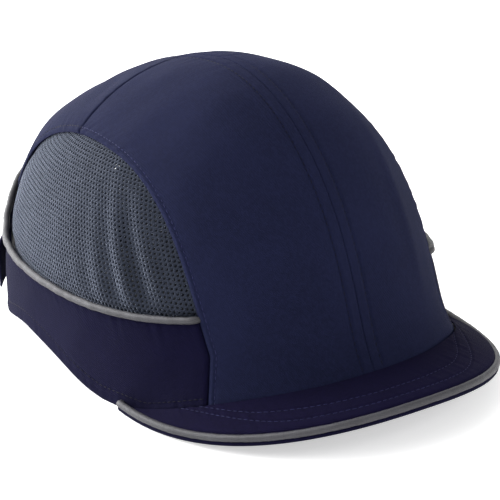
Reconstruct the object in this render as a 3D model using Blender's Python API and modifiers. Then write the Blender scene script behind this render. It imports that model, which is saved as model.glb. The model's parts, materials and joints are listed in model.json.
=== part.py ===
"""Bump cap: a cloth cap with a short brim over a removable vented shell with foam pads.

Metres, +Z up. The brim points along -Y and the wearer's right side is -X. The cap stands on its
lower edge at Z = 0, and the origin is at the middle of its bounding box, at the bottom.

The crown is one smooth form. A point on it is named by its angle round the head, 0 at the front and
positive towards +X, and by its reach: 0 at the top of the crown, 1 at its widest level, and more
than 1 on the upright wall below that. An inset moves a point inwards from the outer cloth.
"""

import math

import bmesh
import bpy
from mathutils import Vector

# Crown: plan at its widest level, and the profile above it
HALF_WIDTH = 0.0855
FRONT_REACH = 0.1023
REAR_REACH = 0.1255
PLAN_POWER = 2.15
WALL_HEIGHT = 0.0132
CROWN_RISE = 0.118
FRONT_POWER = 2.08
SIDE_POWER = 2.21
REAR_POWER = 2.30
TOP_LEAN = 0.0071
REAR_DIP = 0.005
REAR_DIP_Y = 0.055
REAR_DIP_LENGTH = 0.032
REAR_DIP_WIDTH = 0.045
REAR_DIP_START = 0.060

# Lower edge of the cloth
FRONT_EDGE_LIFT = 0.0059
FRONT_EDGE_ANGLE = math.radians(65)
EAR_LOW_ANGLE = math.radians(68)
EAR_LOW_SPREAD = math.radians(25)
REAR_DROP_START = math.radians(112)
REAR_DROP_SPREAD = math.radians(40)
HEM_TRIM = 0.0005
HEM_TUCK_FADE = math.radians(22.5)
FLARE = 0.0093
FLARE_FALL = 0.0139
FLARE_ANGLE = math.radians(75)
FLARE_FADE = math.radians(45)

# Cloth, seams and piping
CLOTH = 0.0012
MESH_CLOTH = 0.0008
MESH_INSET = 0.0010
MESH_REAR_INSET = 0.0016
GAP = 0.0004
SEAM_X_FRONT = 0.060
SEAM_X_REAR = 0.050
SEAM_BOW = 0.0032
SEAM_BOW_RISE = 0.006
SEAM_BOW_FADE_Y = -0.010
SEAM_BOW_FADE = 0.090
CROSS_SEAM_Y = 0.030
SEAM_FOOT_SHARE = 0.1
MESH_FRONT_CORNER = 0.28
MESH_REAR_CORNER = 0.76
PIPING_RADIUS = 0.0015
PIPING_SEAM_GAP = 0.0003
PIPING_STAND = 0.0006
PIPING_HEIGHT = 0.040
PIPING_FRONT_LIFT = 0.006
PIPING_FRONT_FADE = math.radians(25)
PIPING_ARCH_LIFT = 0.030
PIPING_ARCH_START = math.radians(134)
PIPING_ARCH_SPREAD = math.radians(38)
SEAM_TAPE_WIDTH = 0.010
SEAM_TAPE = 0.0006

# Rear opening
OPENING_WIDTH = 0.090
OPENING_TOP = 0.050
OPENING_BINDING_RADIUS = 0.0010
OPENING_BINDING_GAP = 0.0008

# Brim: its outer edge is half a superellipse, bent down at the sides
BRIM_SIDE_INSET = 0.0008
BRIM_REACH = 0.0991
BRIM_ROOT_Y = -0.0458
BRIM_POWER = 2.135
BRIM_FRONT_HEIGHT = 0.0178
BRIM_SIDE_DROP = 0.01973
BRIM_RISE = 0.064
BRIM_OUTER_ANGLE = math.radians(80)
BRIM_INNER_ANGLE = math.radians(54)
BRIM_PIPING_ANGLE = math.radians(87)
BRIM_COVER = 0.0006
BRIM_BOARD = 0.0016
BRIM_LAYER_GAP = 0.0003
BRIM_ROOT_GAP = 0.0010
BINDING_RADIUS = 0.0008

# Sweatband
SWEATBAND = 0.0020
SWEATBAND_TOP = 0.036
SWEATBAND_HEM_GAP = 0.0015
SWEATBAND_END = math.radians(150)

# Strap across the rear opening
STRAP_LOW = 0.008
STRAP_WIDTH = 0.022
STRAP_CLOTH = 0.0009
STRAP_PATCH = 0.0005
STRAP_SEWN_ANGLE = math.radians(146)
STRAP_ANCHOR_END = math.radians(156)
STRAP_BASE_END = math.radians(199)
STRAP_TONGUE_END = math.radians(196)
PATCH_START = math.radians(170)
PATCH_END = math.radians(192)
PATCH_EDGE = 0.002

# Removable insert: vented shell and foam pads
SHELL_INSET = 0.0045
SHELL = 0.0020
SHELL_EDGE = 0.038
SHELL_REAR_LIFT = 0.018
SHELL_REAR_START = math.radians(130)
SHELL_REAR_SPREAD = math.radians(35)
SHELL_COLUMNS = 40
SHELL_ROWS = 10
VENT_ROWS = (3, 5, 7)
VENT_EVERY = 4
PAD = 0.0070
PAD_GAP = 0.0009
PAD_EDGE_REACH = 0.02
FRONT_PAD_SPREAD = math.radians(40)
FRONT_PAD_TOP = 0.56
SIDE_PAD_ANGLE = math.radians(88)
SIDE_PAD_SPREAD = math.radians(26)
SIDE_PAD_TOP = 0.54
REAR_PAD_SPREAD = math.radians(30)
REAR_PAD_TOP = 0.62
CROWN_PAD_WIDTH = 0.070
CROWN_PAD_FRONT = -0.050
CROWN_PAD_REAR = 0.062

# How finely each surface is divided: cells across and along
FRONT_CELLS = (10, 18)
REAR_CELLS = (12, 12)
MESH_CELLS = (18, 9)
BAND_SIDE_COLUMNS = 20
BAND_ARCH_COLUMNS = 8
BAND_ROWS = 4
BAND_SPLIT_ANGLE = math.radians(148)
BAND_FOOT_SHARE = 0.3
BINDING_FOOT_SHARE = 0.1
TAPE_CELLS = (2, 18)
SWEATBAND_CELLS = (56, 3)
BRIM_CELLS = (36, 4)
STRAP_COLUMN = math.radians(3)
STRAP_LEAST_COLUMNS = 4
FRONT_PAD_COLUMNS = 10
PAD_COLUMNS = 8
PAD_ROWS = 4
CROWN_PAD_CELLS = (5, 7)
PIPING_STEPS = 84
ARCH_STEPS = 16
BRIM_PIPING_STEPS = 56
BRIM_BINDING_STEPS = 48
PACE_SAMPLES = 160
HALVINGS = 40
SLOPE_STEP = 0.01

BRIM_HALF_WIDTH = HALF_WIDTH - BRIM_SIDE_INSET
BRIM_STACK = 2 * BRIM_COVER + BRIM_BOARD + 2 * BRIM_LAYER_GAP
PIPING_GAP = PIPING_RADIUS + PIPING_SEAM_GAP
FULL_TURN = 2 * math.pi


def smooth(value):
    """0 below 0, 1 above 1, and a smooth rise between."""
    value = min(max(value, 0.0), 1.0)
    return value * value * (3 - 2 * value)


def mix(low, high, share):
    return low * (1 - share) + high * share


def turned(angle):
    """The same angle, between minus half a turn and half a turn."""
    return (angle + math.pi) % FULL_TURN - math.pi


# The crown's form


def profile_power(angle):
    front = max(math.cos(angle), 0.0) ** 2
    rear = max(-math.cos(angle), 0.0) ** 2
    return FRONT_POWER * front + REAR_POWER * rear + SIDE_POWER * (1 - front - rear)


def plan_radius(angle, inset=0.0):
    length = FRONT_REACH if math.cos(angle) > 0 else REAR_REACH
    across = abs(math.sin(angle)) / (HALF_WIDTH - inset)
    along = abs(math.cos(angle)) / (length - inset)
    return (across**PLAN_POWER + along**PLAN_POWER) ** (-1 / PLAN_POWER)


def cloth_edge(angle):
    """Height at which the crown's cloth meets the brim, or ends."""
    angle = abs(turned(angle))
    front = FRONT_EDGE_LIFT * smooth(1 - angle / FRONT_EDGE_ANGLE)
    ear = WALL_HEIGHT * math.exp(-(((angle - EAR_LOW_ANGLE) / EAR_LOW_SPREAD) ** 2))
    rear = WALL_HEIGHT * smooth((angle - REAR_DROP_START) / REAR_DROP_SPREAD)
    return max(WALL_HEIGHT + front - ear - rear, 0.0)


def hem_height(angle):
    """Lower edge of the cloth: behind the brim it goes down past the brim's layers."""
    behind_brim = smooth((FLARE_ANGLE - abs(turned(angle))) / HEM_TUCK_FADE)
    return max(cloth_edge(angle) - BRIM_STACK * behind_brim, 0.0) - HEM_TRIM


def reach_at(angle, height):
    """Reach of the point at this height."""
    rise = (height - WALL_HEIGHT) / CROWN_RISE
    if rise < 0:
        return 1 - rise * 2 / math.pi
    return math.acos(min(rise ** (profile_power(angle) / 2), 1.0)) * 2 / math.pi


def crown(angle, reach, inset=0.0, flared=True):
    """The point of the crown at this angle and reach."""
    tilt = min(reach, 1.0) * math.pi / 2
    share = math.sin(tilt)
    if reach > 1:
        height = WALL_HEIGHT - (reach - 1) * CROWN_RISE * math.pi / 2
    else:
        height = WALL_HEIGHT + (CROWN_RISE - inset) * math.cos(tilt) ** (2 / profile_power(angle))
    radius = plan_radius(angle, inset) * share
    if flared:
        above = max(height - cloth_edge(angle), 0.0)
        near = smooth((FLARE_ANGLE - abs(turned(angle))) / FLARE_FADE)
        radius += FLARE * near * math.exp(-above / FLARE_FALL)
    x = radius * math.sin(angle)
    y = -radius * math.cos(angle) - TOP_LEAN * (1 - share)
    off_dip = ((y - REAR_DIP_Y) / REAR_DIP_LENGTH) ** 2 + (x / REAR_DIP_WIDTH) ** 2
    dip = REAR_DIP * math.exp(-off_dip / 2) * smooth((height - WALL_HEIGHT) / REAR_DIP_START)
    return Vector((x, y + centre_shift(), height - dip))


def crown_height(angle, height, inset=0.0, flared=True):
    """The point of the crown at this angle and height."""
    return crown(angle, reach_at(angle, height), inset, flared)


def centre_shift():
    """Puts the origin at the middle of the cap's length."""
    front = BRIM_REACH - BRIM_ROOT_Y + PIPING_RADIUS
    rear = REAR_REACH + strap_stack(4)
    return (front - rear) / 2


def over(x, y):
    """Disc point of the crown above a plan point: reach as a radius, angle as a direction."""
    angle = math.atan2(x, -y)
    share = min(math.hypot(x, y) / plan_radius(angle), 1.0)
    reach = math.asin(share) * 2 / math.pi
    return Vector((reach * math.sin(angle), -reach * math.cos(angle)))


def on_disc(angle, height):
    reach = reach_at(angle, height)
    return Vector((reach * math.sin(angle), -reach * math.cos(angle)))


def from_disc(point, inset=0.0):
    return crown(math.atan2(point.x, -point.y), point.length, inset)


# Seam lines, each a function of 0 to 1 that gives a disc point on the +X side


def seam_x(y):
    """Half the width between the long seams: they run in towards the rear, and bow out over the ears."""
    share = (y + FRONT_REACH) / (FRONT_REACH + REAR_REACH)
    behind_foot = max(y + plan_half_length(FRONT_REACH, SEAM_X_FRONT), 0)
    rise = 1 - math.exp(-behind_foot / SEAM_BOW_RISE)
    fade = 1 - smooth((y - SEAM_BOW_FADE_Y) / SEAM_BOW_FADE)
    return mix(SEAM_X_FRONT, SEAM_X_REAR, share) + SEAM_BOW * rise * fade


def plan_half_length(length, x):
    return length * (1 - (x / HALF_WIDTH) ** PLAN_POWER) ** (1 / PLAN_POWER)


def seam_foot_angle():
    return math.atan2(SEAM_X_FRONT, plan_half_length(FRONT_REACH, SEAM_X_FRONT))


def side_seam(share):
    """The long seam from the crown's widest level in front, over the ear, to the same level behind."""
    front = -plan_half_length(FRONT_REACH, SEAM_X_FRONT)
    rear = plan_half_length(REAR_REACH, SEAM_X_REAR)
    y = mix(front, rear, (1 - math.cos(share * math.pi)) / 2)
    return over(seam_x(y), y)


def disc_angle(point):
    return math.atan2(point.x, -point.y)


def piping_height(angle):
    angle = abs(turned(angle))
    front = math.exp(-max(angle - seam_foot_angle(), 0.0) / PIPING_FRONT_FADE)
    arch = smooth((angle - PIPING_ARCH_START) / PIPING_ARCH_SPREAD)
    return PIPING_HEIGHT + PIPING_FRONT_LIFT * front + PIPING_ARCH_LIFT * arch


def share_where(test):
    """The first share of the side seam for which the test holds, by halving."""
    low, high = 0.0, 1.0
    for _ in range(HALVINGS):
        middle = (low + high) / 2
        low, high = (low, middle) if test(side_seam(middle)) else (middle, high)
    return high


def meets_piping_front(above=0.0):
    """Share of the side seam where it crosses the line at this height above the piping, in front."""
    return share_where(lambda p: reach_height(p) > piping_height(disc_angle(p)) + above)


def meets_piping_rear(above=0.0):
    """The same behind the head."""
    return share_where(
        lambda p: p.y > 0 and reach_height(p) < piping_height(disc_angle(p)) + above,
    )


def meets_cross_seam():
    return share_where(lambda p: plan_y(p) > CROSS_SEAM_Y)


def reach_height(point):
    """Height of a disc point on the plain form, without the dip behind the top."""
    tilt = min(point.length, 1.0) * math.pi / 2
    return WALL_HEIGHT + CROWN_RISE * math.cos(tilt) ** (2 / profile_power(disc_angle(point)))


def plan_y(point):
    angle = disc_angle(point)
    share = math.sin(min(point.length, 1.0) * math.pi / 2)
    return -math.cos(angle) * plan_radius(angle) * share


def part_of(curve, first, last):
    return lambda share: curve(mix(first, last, share))


def down_to_hem(share):
    """The side seam's upright foot, from the hem up to where the seam starts to lean."""
    angle = seam_foot_angle()
    return on_disc(angle, mix(hem_height(angle), WALL_HEIGHT, share))


def joined(first, second, split):
    """One curve made of two: the first up to the split, the second after it."""

    def curve(share):
        if share < split:
            return first(share / split)
        return second((share - split) / (1 - split))

    return curve


def evenly(curve, samples=PACE_SAMPLES):
    """The same curve, run at an even pace along the cloth."""
    points = [curve(step / samples) for step in range(samples + 1)]
    places = [from_disc(point) for point in points]
    run = [0.0]
    for before, after in zip(places, places[1:]):
        run.append(run[-1] + (after - before).length)

    def paced(share):
        target = min(max(share, 0.0), 1.0) * run[-1]
        step = next((i for i in range(samples) if run[i + 1] >= target), samples - 1)
        stretch = run[step + 1] - run[step]
        return points[step].lerp(points[step + 1], (target - run[step]) / stretch)

    paced.length = run[-1]
    return paced


def patch(bottom, top, left, right):
    """A smooth patch between four edge curves that meet at their ends."""

    def at(u, v):
        ruled = mix(bottom(u), top(u), v) + mix(left(v), right(v), u)
        return ruled - mix(mix(bottom(0), bottom(1), u), mix(top(0), top(1), u), v)

    at.width = min(bottom.length, top.length)
    at.depth = min(left.length, right.length)
    return at


def inside(at, hem=False):
    """The patch drawn in from its seams by half a seam gap. A hem at the bottom stays in place."""
    edge_u = GAP / 2 / at.width
    edge_v = GAP / 2 / at.depth
    low_v = 0.0 if hem else edge_v
    return lambda u, v: at(mix(edge_u, 1 - edge_u, u), mix(low_v, 1 - edge_v, v))


# Building blocks


def new_collection(name):
    collection = bpy.data.collections.new(name)
    bpy.context.scene.collection.children.link(collection)
    return collection


def make_material(name, colour, roughness):
    material = bpy.data.materials.new(name)
    material.use_nodes = True
    shader = material.node_tree.nodes["Principled BSDF"]
    shader.inputs["Base Color"].default_value = (*colour, 1.0)
    shader.inputs["Roughness"].default_value = roughness
    material.diffuse_color = (*colour, 1.0)
    return material


def add_object(name, data, finish):
    thing = bpy.data.objects.new(name, data)
    PARTS.objects.link(thing)
    data.materials.append(make_material(name, *FINISHES[finish]))
    return thing


def mirrored(place):
    """The same surface on the other side of the cap."""

    def other(u, v):
        point = place(u, v)
        return Vector((-point.x, point.y, point.z))

    return other


def sheet(name, place, cells, thickness, finish):
    """A grid laid on a surface, place(u, v) with u and v from 0 to 1, thickened inwards."""
    across, along = cells
    grid = bmesh.new()
    bmesh.ops.create_grid(grid, x_segments=across, y_segments=along, size=0.5)
    for vert in grid.verts:
        vert.co = place(vert.co.x + 0.5, vert.co.y + 0.5)
    return thicken(name, grid, thickness, finish)


def thicken(name, grid, thickness, finish):
    """Turns the surface's faces away from the head and gives it its thickness."""
    grid.normal_update()
    head = Vector((0, centre_shift(), 0))
    outwards = sum(face.normal.dot(face.calc_center_median() - head) for face in grid.faces)
    if outwards < 0:
        bmesh.ops.reverse_faces(grid, faces=grid.faces)
    mesh = bpy.data.meshes.new(name)
    grid.to_mesh(mesh)
    grid.free()
    mesh.shade_smooth()
    thing = add_object(name, mesh, finish)
    solid = thing.modifiers.new("Thickness", "SOLIDIFY")
    solid.thickness = thickness
    solid.offset = -1
    return thing


def tube(name, points, radius, finish, sides=2):
    """A cord or binding along a line of points."""
    curve = bpy.data.curves.new(name, "CURVE")
    curve.dimensions = "3D"
    curve.bevel_depth = radius
    curve.bevel_resolution = sides
    curve.use_fill_caps = True
    spline = curve.splines.new("POLY")
    spline.points.add(len(points) - 1)
    for target, point in zip(spline.points, points):
        target.co = (*point, 1.0)
    return add_object(name, curve, finish)


def block_below(name):
    """A cutter that takes away all that is under the surface the cap stands on."""
    depth = 4 * HEM_TRIM
    block = bmesh.new()
    bmesh.ops.create_cube(block, size=1.0)
    for vert in block.verts:
        vert.co = Vector((vert.co.x, vert.co.y, vert.co.z * depth - depth / 2))
    mesh = bpy.data.meshes.new(name)
    block.to_mesh(mesh)
    block.free()
    cutter = bpy.data.objects.new(name, mesh)
    CUTTERS.objects.link(cutter)
    cutter.hide_render = True
    cutter.display_type = "WIRE"
    return cutter


def steps(first, last, count):
    return [mix(first, last, step / count) for step in range(count + 1)]


# Cloth panels


def build_front_panels():
    """Two panels, from the brim over the top of the crown to the cross seam."""
    foot = seam_foot_angle()
    cross = meets_cross_seam()
    centre_top = over(0, CROSS_SEAM_Y)
    half_cross = seam_x(CROSS_SEAM_Y)

    def hem(share):
        angle = foot * share
        return on_disc(angle, hem_height(angle))

    def centre(share):
        return hem(0).lerp(centre_top, share)

    def cross_seam(share):
        return over(half_cross * share, CROSS_SEAM_Y)

    outer = joined(down_to_hem, part_of(side_seam, 0, cross), SEAM_FOOT_SHARE)
    area = inside(patch(evenly(hem), evenly(cross_seam), evenly(centre), evenly(outer)), hem=True)

    def place(u, v):
        return from_disc(area(u, v))

    sheet("front_panel_left", place, FRONT_CELLS, CLOTH, "cloth")
    sheet("front_panel_right", mirrored(place), FRONT_CELLS, CLOTH, "cloth")


def build_rear_panel():
    """One panel, from the cross seam down to the piping over the rear opening."""
    cross = meets_cross_seam()
    low = meets_piping_rear(PIPING_GAP)
    half_cross = seam_x(CROSS_SEAM_Y)
    corner = disc_angle(side_seam(low))

    def side(sign):
        def curve(share):
            point = side_seam(mix(low, cross, share))
            return Vector((sign * point.x, point.y))

        return curve

    def above_piping(share):
        angle = mix(-corner, -FULL_TURN + corner, share)
        return on_disc(angle, piping_height(angle) + PIPING_GAP)

    def cross_seam(share):
        return over(mix(-half_cross, half_cross, share), CROSS_SEAM_Y)

    area = inside(
        patch(evenly(above_piping), evenly(cross_seam), evenly(side(-1)), evenly(side(1)))
    )
    sheet("rear_panel", lambda u, v: from_disc(area(u, v)), REAR_CELLS, CLOTH, "cloth")


def build_mesh_panels():
    """An open-weave panel on each side, above the piping and under the side seam."""
    front = meets_piping_front(PIPING_GAP)
    rear = meets_piping_rear(PIPING_GAP)
    front_corner = mix(front, rear, MESH_FRONT_CORNER)
    rear_corner = mix(front, rear, MESH_REAR_CORNER)
    first = disc_angle(side_seam(front))
    last = disc_angle(side_seam(rear))

    def above_piping(share):
        angle = mix(first, last, share)
        return on_disc(angle, piping_height(angle) + PIPING_GAP)

    area = inside(
        patch(
            evenly(above_piping),
            evenly(part_of(side_seam, front_corner, rear_corner)),
            evenly(part_of(side_seam, front, front_corner)),
            evenly(part_of(side_seam, rear, rear_corner)),
        )
    )

    def place(u, v):
        point = area(u, v)
        towards_rear = smooth((disc_angle(point) - math.pi / 2) / (last - math.pi / 2))
        inset = MESH_INSET + MESH_REAR_INSET * towards_rear * (1 - v) ** 2
        return from_disc(point, inset)

    sheet("mesh_panel_left", place, MESH_CELLS, MESH_CLOTH, "mesh")
    sheet("mesh_panel_right", mirrored(place), MESH_CELLS, MESH_CLOTH, "mesh")


def opening_half_angle(margin=0.0):
    return math.asin((OPENING_WIDTH / 2 + margin) / REAR_REACH)


def opening_edge(share, margin=0.0):
    """Angle and height on the rear opening's edge, from its foot at 0 to its top at 1."""
    turn = share * math.pi / 2
    angle = math.pi - opening_half_angle(margin) * math.cos(turn)
    return angle, (OPENING_TOP + margin) * math.sin(turn)


def build_side_bands():
    """The solid cloth under the piping, from the front seam to the middle of the rear."""
    seam_point = side_seam(meets_piping_front(-PIPING_GAP))
    margin = OPENING_BINDING_RADIUS + OPENING_BINDING_GAP
    columns = BAND_SIDE_COLUMNS + BAND_ARCH_COLUMNS
    split = BAND_SIDE_COLUMNS / columns

    def under_piping(first, last):
        def curve(share):
            angle = mix(first, last, share)
            return on_disc(angle, piping_height(angle) - PIPING_GAP)

        return evenly(curve)

    def hem(share):
        angle = mix(seam_foot_angle(), math.pi - opening_half_angle(margin), share)
        return on_disc(angle, hem_height(angle))

    def arch(share):
        return on_disc(*opening_edge(share, margin))

    top = joined(
        under_piping(disc_angle(seam_point), BAND_SPLIT_ANGLE),
        under_piping(BAND_SPLIT_ANGLE, math.pi),
        split,
    )
    bottom = joined(evenly(hem), evenly(arch), split)
    leg = part_of(side_seam, 0, meets_piping_front(-PIPING_GAP))
    front_edge = evenly(joined(down_to_hem, leg, BAND_FOOT_SHARE))
    rear_edge = evenly(lambda share: arch(1).lerp(top(1), share))
    top.length = bottom.length = evenly(top).length
    area = inside(patch(bottom, top, front_edge, rear_edge), hem=True)

    def place(u, v):
        return from_disc(area(u, v))

    bands = [
        sheet("side_band_left", place, (columns, BAND_ROWS), CLOTH, "band"),
        sheet("side_band_right", mirrored(place), (columns, BAND_ROWS), CLOTH, "band"),
    ]
    trimmer = block_below("hem_trimmer")
    for band in bands:
        trim = band.modifiers.new("Level hem", "BOOLEAN")
        trim.object = trimmer


def build_side_piping():
    """One reflective cord, from the front seam round the rear to the other front seam."""
    first = disc_angle(side_seam(meets_piping_front())) + GAP / HALF_WIDTH
    angles = steps(first, FULL_TURN - first, PIPING_STEPS)
    points = [crown_height(angle, piping_height(angle), -PIPING_STAND) for angle in angles]
    tube("side_piping", points, PIPING_RADIUS, "reflective")


def build_opening_binding():
    """Tape round the edge of the rear opening."""
    side = [opening_edge(share) for share in steps(BINDING_FOOT_SHARE, 1.0, ARCH_STEPS)]
    places = side + [(FULL_TURN - angle, height) for angle, height in reversed(side[:-1])]
    inset = OPENING_BINDING_RADIUS + GAP / 2
    points = [crown_height(angle, height, inset) for angle, height in places]
    tube("opening_binding", points, OPENING_BINDING_RADIUS, "band")


def build_seam_tape():
    """Tape behind the centre seam, on the inner side of the front panels."""
    first = -FRONT_REACH + SEAM_TAPE_WIDTH
    last = CROSS_SEAM_Y - SEAM_TAPE_WIDTH / 2

    def place(u, v):
        x = SEAM_TAPE_WIDTH * (u - 0.5)
        return from_disc(over(x, mix(first, last, v)), CLOTH + BRIM_LAYER_GAP)

    sheet("centre_seam_tape", place, TAPE_CELLS, SEAM_TAPE, "band")


def build_sweatband():
    """The padded band inside the lower edge, open at the rear."""

    def place(u, v):
        angle = mix(-SWEATBAND_END, SWEATBAND_END, u)
        height = mix(hem_height(angle) + SWEATBAND_HEM_GAP, SWEATBAND_TOP, v)
        return crown_height(angle, height, CLOTH + GAP, flared=False)

    sheet("sweatband", place, SWEATBAND_CELLS, SWEATBAND, "sweatband")


# Brim


def brim_edge(turn):
    """Centre of the brim's piping: 0 at the front, a quarter turn at the brim's ends."""
    across = abs(math.sin(turn)) ** (2 / BRIM_POWER) * math.copysign(1, turn)
    along = abs(math.cos(turn)) ** (2 / BRIM_POWER)
    x = BRIM_HALF_WIDTH * across
    y = BRIM_ROOT_Y - BRIM_REACH * along
    rise = BRIM_RISE * (y - BRIM_ROOT_Y + BRIM_REACH)
    height = BRIM_FRONT_HEIGHT - BRIM_SIDE_DROP * across * across + rise
    return Vector((x, y + centre_shift(), height))


def brim_root(turn):
    """The brim's inner edge, just outside the crown's cloth."""
    angle = turn / BRIM_OUTER_ANGLE * BRIM_INNER_ANGLE
    return crown_height(angle, cloth_edge(angle) - BRIM_STACK / 2, -BRIM_ROOT_GAP)


def brim_surface(level, margin):
    """The brim at a level above its middle layer, ending a margin inside the piping's centre."""

    def middle(u, v):
        turn = mix(-BRIM_OUTER_ANGLE, BRIM_OUTER_ANGLE, u)
        root, edge = brim_root(turn), brim_edge(turn)
        tangent = (brim_edge(turn + SLOPE_STEP) - brim_edge(turn - SLOPE_STEP)).normalized()
        width = (edge - root).cross(tangent).length
        return root.lerp(edge, v * (1 - margin / width))

    def place(u, v):
        across = middle(u + SLOPE_STEP, v) - middle(u - SLOPE_STEP, v)
        outwards = middle(u, v + SLOPE_STEP) - middle(u, v - SLOPE_STEP)
        up = outwards.cross(across).normalized()
        return middle(u, v) + up * (level if up.z > 0 else -level)

    return place


def build_brim():
    """Stiff board between two cloth covers, edged with a reflective cord and a binding."""
    margin = PIPING_RADIUS + BRIM_LAYER_GAP
    half = BRIM_STACK / 2
    layers = [
        ("brim_top_cover", half, BRIM_COVER, "cloth"),
        ("brim_board", BRIM_BOARD / 2, BRIM_BOARD, "board"),
        ("brim_under_cover", BRIM_COVER - half, BRIM_COVER, "cloth"),
    ]
    for name, level, thickness, finish in layers:
        sheet(name, brim_surface(level, margin), BRIM_CELLS, thickness, finish)
    turns = steps(-BRIM_PIPING_ANGLE, BRIM_PIPING_ANGLE, BRIM_PIPING_STEPS)
    tube("brim_piping", [brim_edge(turn) for turn in turns], PIPING_RADIUS, "reflective")
    drop = PIPING_RADIUS + BINDING_RADIUS + BRIM_LAYER_GAP
    turns = steps(-BRIM_OUTER_ANGLE, BRIM_OUTER_ANGLE, BRIM_BINDING_STEPS)
    binding = [brim_edge(turn) - Vector((0, 0, drop)) for turn in turns]
    tube("brim_binding", binding, BINDING_RADIUS, "band", sides=1)


# Strap across the rear opening


def strap_stack(layer):
    """How far a layer's outer face stands outside the crown's cloth: base, loop, hook, tongue."""
    thicknesses = (STRAP_CLOTH, STRAP_PATCH, STRAP_PATCH, STRAP_CLOTH)
    return sum(thicknesses[:layer]) + layer * BRIM_LAYER_GAP


def strap_layer(name, first, last, layer, thickness, finish, edge=0.0):
    """A band of one strap layer between two angles, with its edges drawn in."""

    def place(u, v):
        angle = mix(first, last, u)
        height = mix(STRAP_LOW + edge, STRAP_LOW + STRAP_WIDTH - edge, v)
        return crown_height(angle, height, -strap_stack(layer))

    columns = max(STRAP_LEAST_COLUMNS, round(abs(last - first) / STRAP_COLUMN))
    sheet(name, place, (columns, 2), thickness, finish)


def build_strap():
    """The loop side is sewn to the left band and the hook side to the right band."""
    strap_layer("strap_base", STRAP_SEWN_ANGLE, STRAP_BASE_END, 1, STRAP_CLOTH, "strap")
    strap_layer("loop_patch", PATCH_START, PATCH_END, 2, STRAP_PATCH, "loop", PATCH_EDGE)
    strap_layer("hook_patch", -PATCH_START, -PATCH_END, 3, STRAP_PATCH, "hook", PATCH_EDGE)
    hinge_gap = GAP / REAR_REACH
    strap_layer("strap_anchor", -STRAP_SEWN_ANGLE, -STRAP_ANCHOR_END, 4, STRAP_CLOTH, "strap")
    start = -STRAP_ANCHOR_END - hinge_gap
    strap_layer("strap_tongue", start, -STRAP_TONGUE_END, 4, STRAP_CLOTH, "strap")


# Removable insert


def shell_edge(angle):
    lift = smooth((abs(turned(angle)) - SHELL_REAR_START) / SHELL_REAR_SPREAD)
    return SHELL_EDGE + SHELL_REAR_LIFT * lift


def build_insert_shell():
    """A thin moulded dome with rows of vents."""
    dome = bmesh.new()
    bmesh.ops.create_uvsphere(
        dome, u_segments=SHELL_COLUMNS, v_segments=2 * SHELL_ROWS, radius=1.0
    )
    below = [vert for vert in dome.verts if vert.co.z < -SLOPE_STEP]
    bmesh.ops.delete(dome, geom=below, context="VERTS")

    def is_vent(face):
        middle = face.calc_center_median().normalized()
        row = int(math.acos(middle.z) / (math.pi / 2) * SHELL_ROWS)
        column = int(math.atan2(middle.x, -middle.y) / FULL_TURN * SHELL_COLUMNS + SHELL_COLUMNS)
        return row in VENT_ROWS and column % VENT_EVERY == (row // 2 + 1) % 2 * (VENT_EVERY // 2)

    vents = [face for face in dome.faces if is_vent(face)]
    bmesh.ops.delete(dome, geom=vents, context="FACES")
    for vert in dome.verts:
        angle = math.atan2(vert.co.x, -vert.co.y)
        share = math.acos(min(vert.co.z, 1.0)) / (math.pi / 2)
        reach = share * reach_at(angle, shell_edge(angle))
        vert.co = crown(angle, reach, SHELL_INSET, flared=False)
    thicken("insert_shell", dome, SHELL, "shell")


def build_pad(name, middle, spread, low, high, columns=PAD_COLUMNS):
    """A foam pad inside the shell, between two angles and two reaches."""
    inset = SHELL_INSET + SHELL + PAD_GAP

    def place(u, v):
        angle = middle + spread * (u - 0.5) * 2
        reach = mix(low, high, v)
        return crown(angle, reach, inset, flared=False)

    sheet(name, place, (columns, PAD_ROWS), PAD, "foam")


def build_crown_pad():
    """A long foam pad under the top of the shell."""
    inset = SHELL_INSET + SHELL + PAD_GAP

    def place(u, v):
        point = over((u - 0.5) * CROWN_PAD_WIDTH, mix(CROWN_PAD_FRONT, CROWN_PAD_REAR, v))
        return crown(disc_angle(point), point.length, inset, flared=False)

    sheet("foam_pad_crown", place, CROWN_PAD_CELLS, PAD, "foam")


def build_pads():
    edge = reach_at(0.0, SHELL_EDGE) - PAD_EDGE_REACH
    rear_edge = reach_at(math.pi, SHELL_EDGE + SHELL_REAR_LIFT) - PAD_EDGE_REACH
    build_pad("foam_pad_front", 0.0, FRONT_PAD_SPREAD, edge, FRONT_PAD_TOP, FRONT_PAD_COLUMNS)
    build_pad("foam_pad_left", SIDE_PAD_ANGLE, SIDE_PAD_SPREAD, edge, SIDE_PAD_TOP)
    build_pad("foam_pad_right", -SIDE_PAD_ANGLE, SIDE_PAD_SPREAD, edge, SIDE_PAD_TOP)
    build_pad("foam_pad_rear", math.pi, REAR_PAD_SPREAD, rear_edge, REAR_PAD_TOP)
    build_crown_pad()


FINISHES = {
    "cloth": ((0.014, 0.016, 0.042), 0.85),
    "band": ((0.011, 0.011, 0.032), 0.88),
    "mesh": ((0.13, 0.15, 0.21), 0.80),
    "reflective": ((0.26, 0.26, 0.26), 0.45),
    "board": ((0.02, 0.02, 0.02), 0.50),
    "sweatband": ((0.015, 0.015, 0.020), 0.90),
    "strap": ((0.012, 0.012, 0.035), 0.85),
    "loop": ((0.010, 0.010, 0.014), 0.95),
    "hook": ((0.008, 0.008, 0.010), 0.60),
    "shell": ((0.015, 0.015, 0.017), 0.40),
    "foam": ((0.028, 0.028, 0.030), 0.95),
}

for old in list(bpy.data.objects):
    bpy.data.objects.remove(old, do_unlink=True)
PARTS = new_collection("bump_cap")
CUTTERS = new_collection("cutters")

build_front_panels()
build_rear_panel()
build_mesh_panels()
build_side_bands()
build_side_piping()
build_opening_binding()
build_seam_tape()
build_sweatband()
build_brim()
build_strap()
build_insert_shell()
build_pads()
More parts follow.
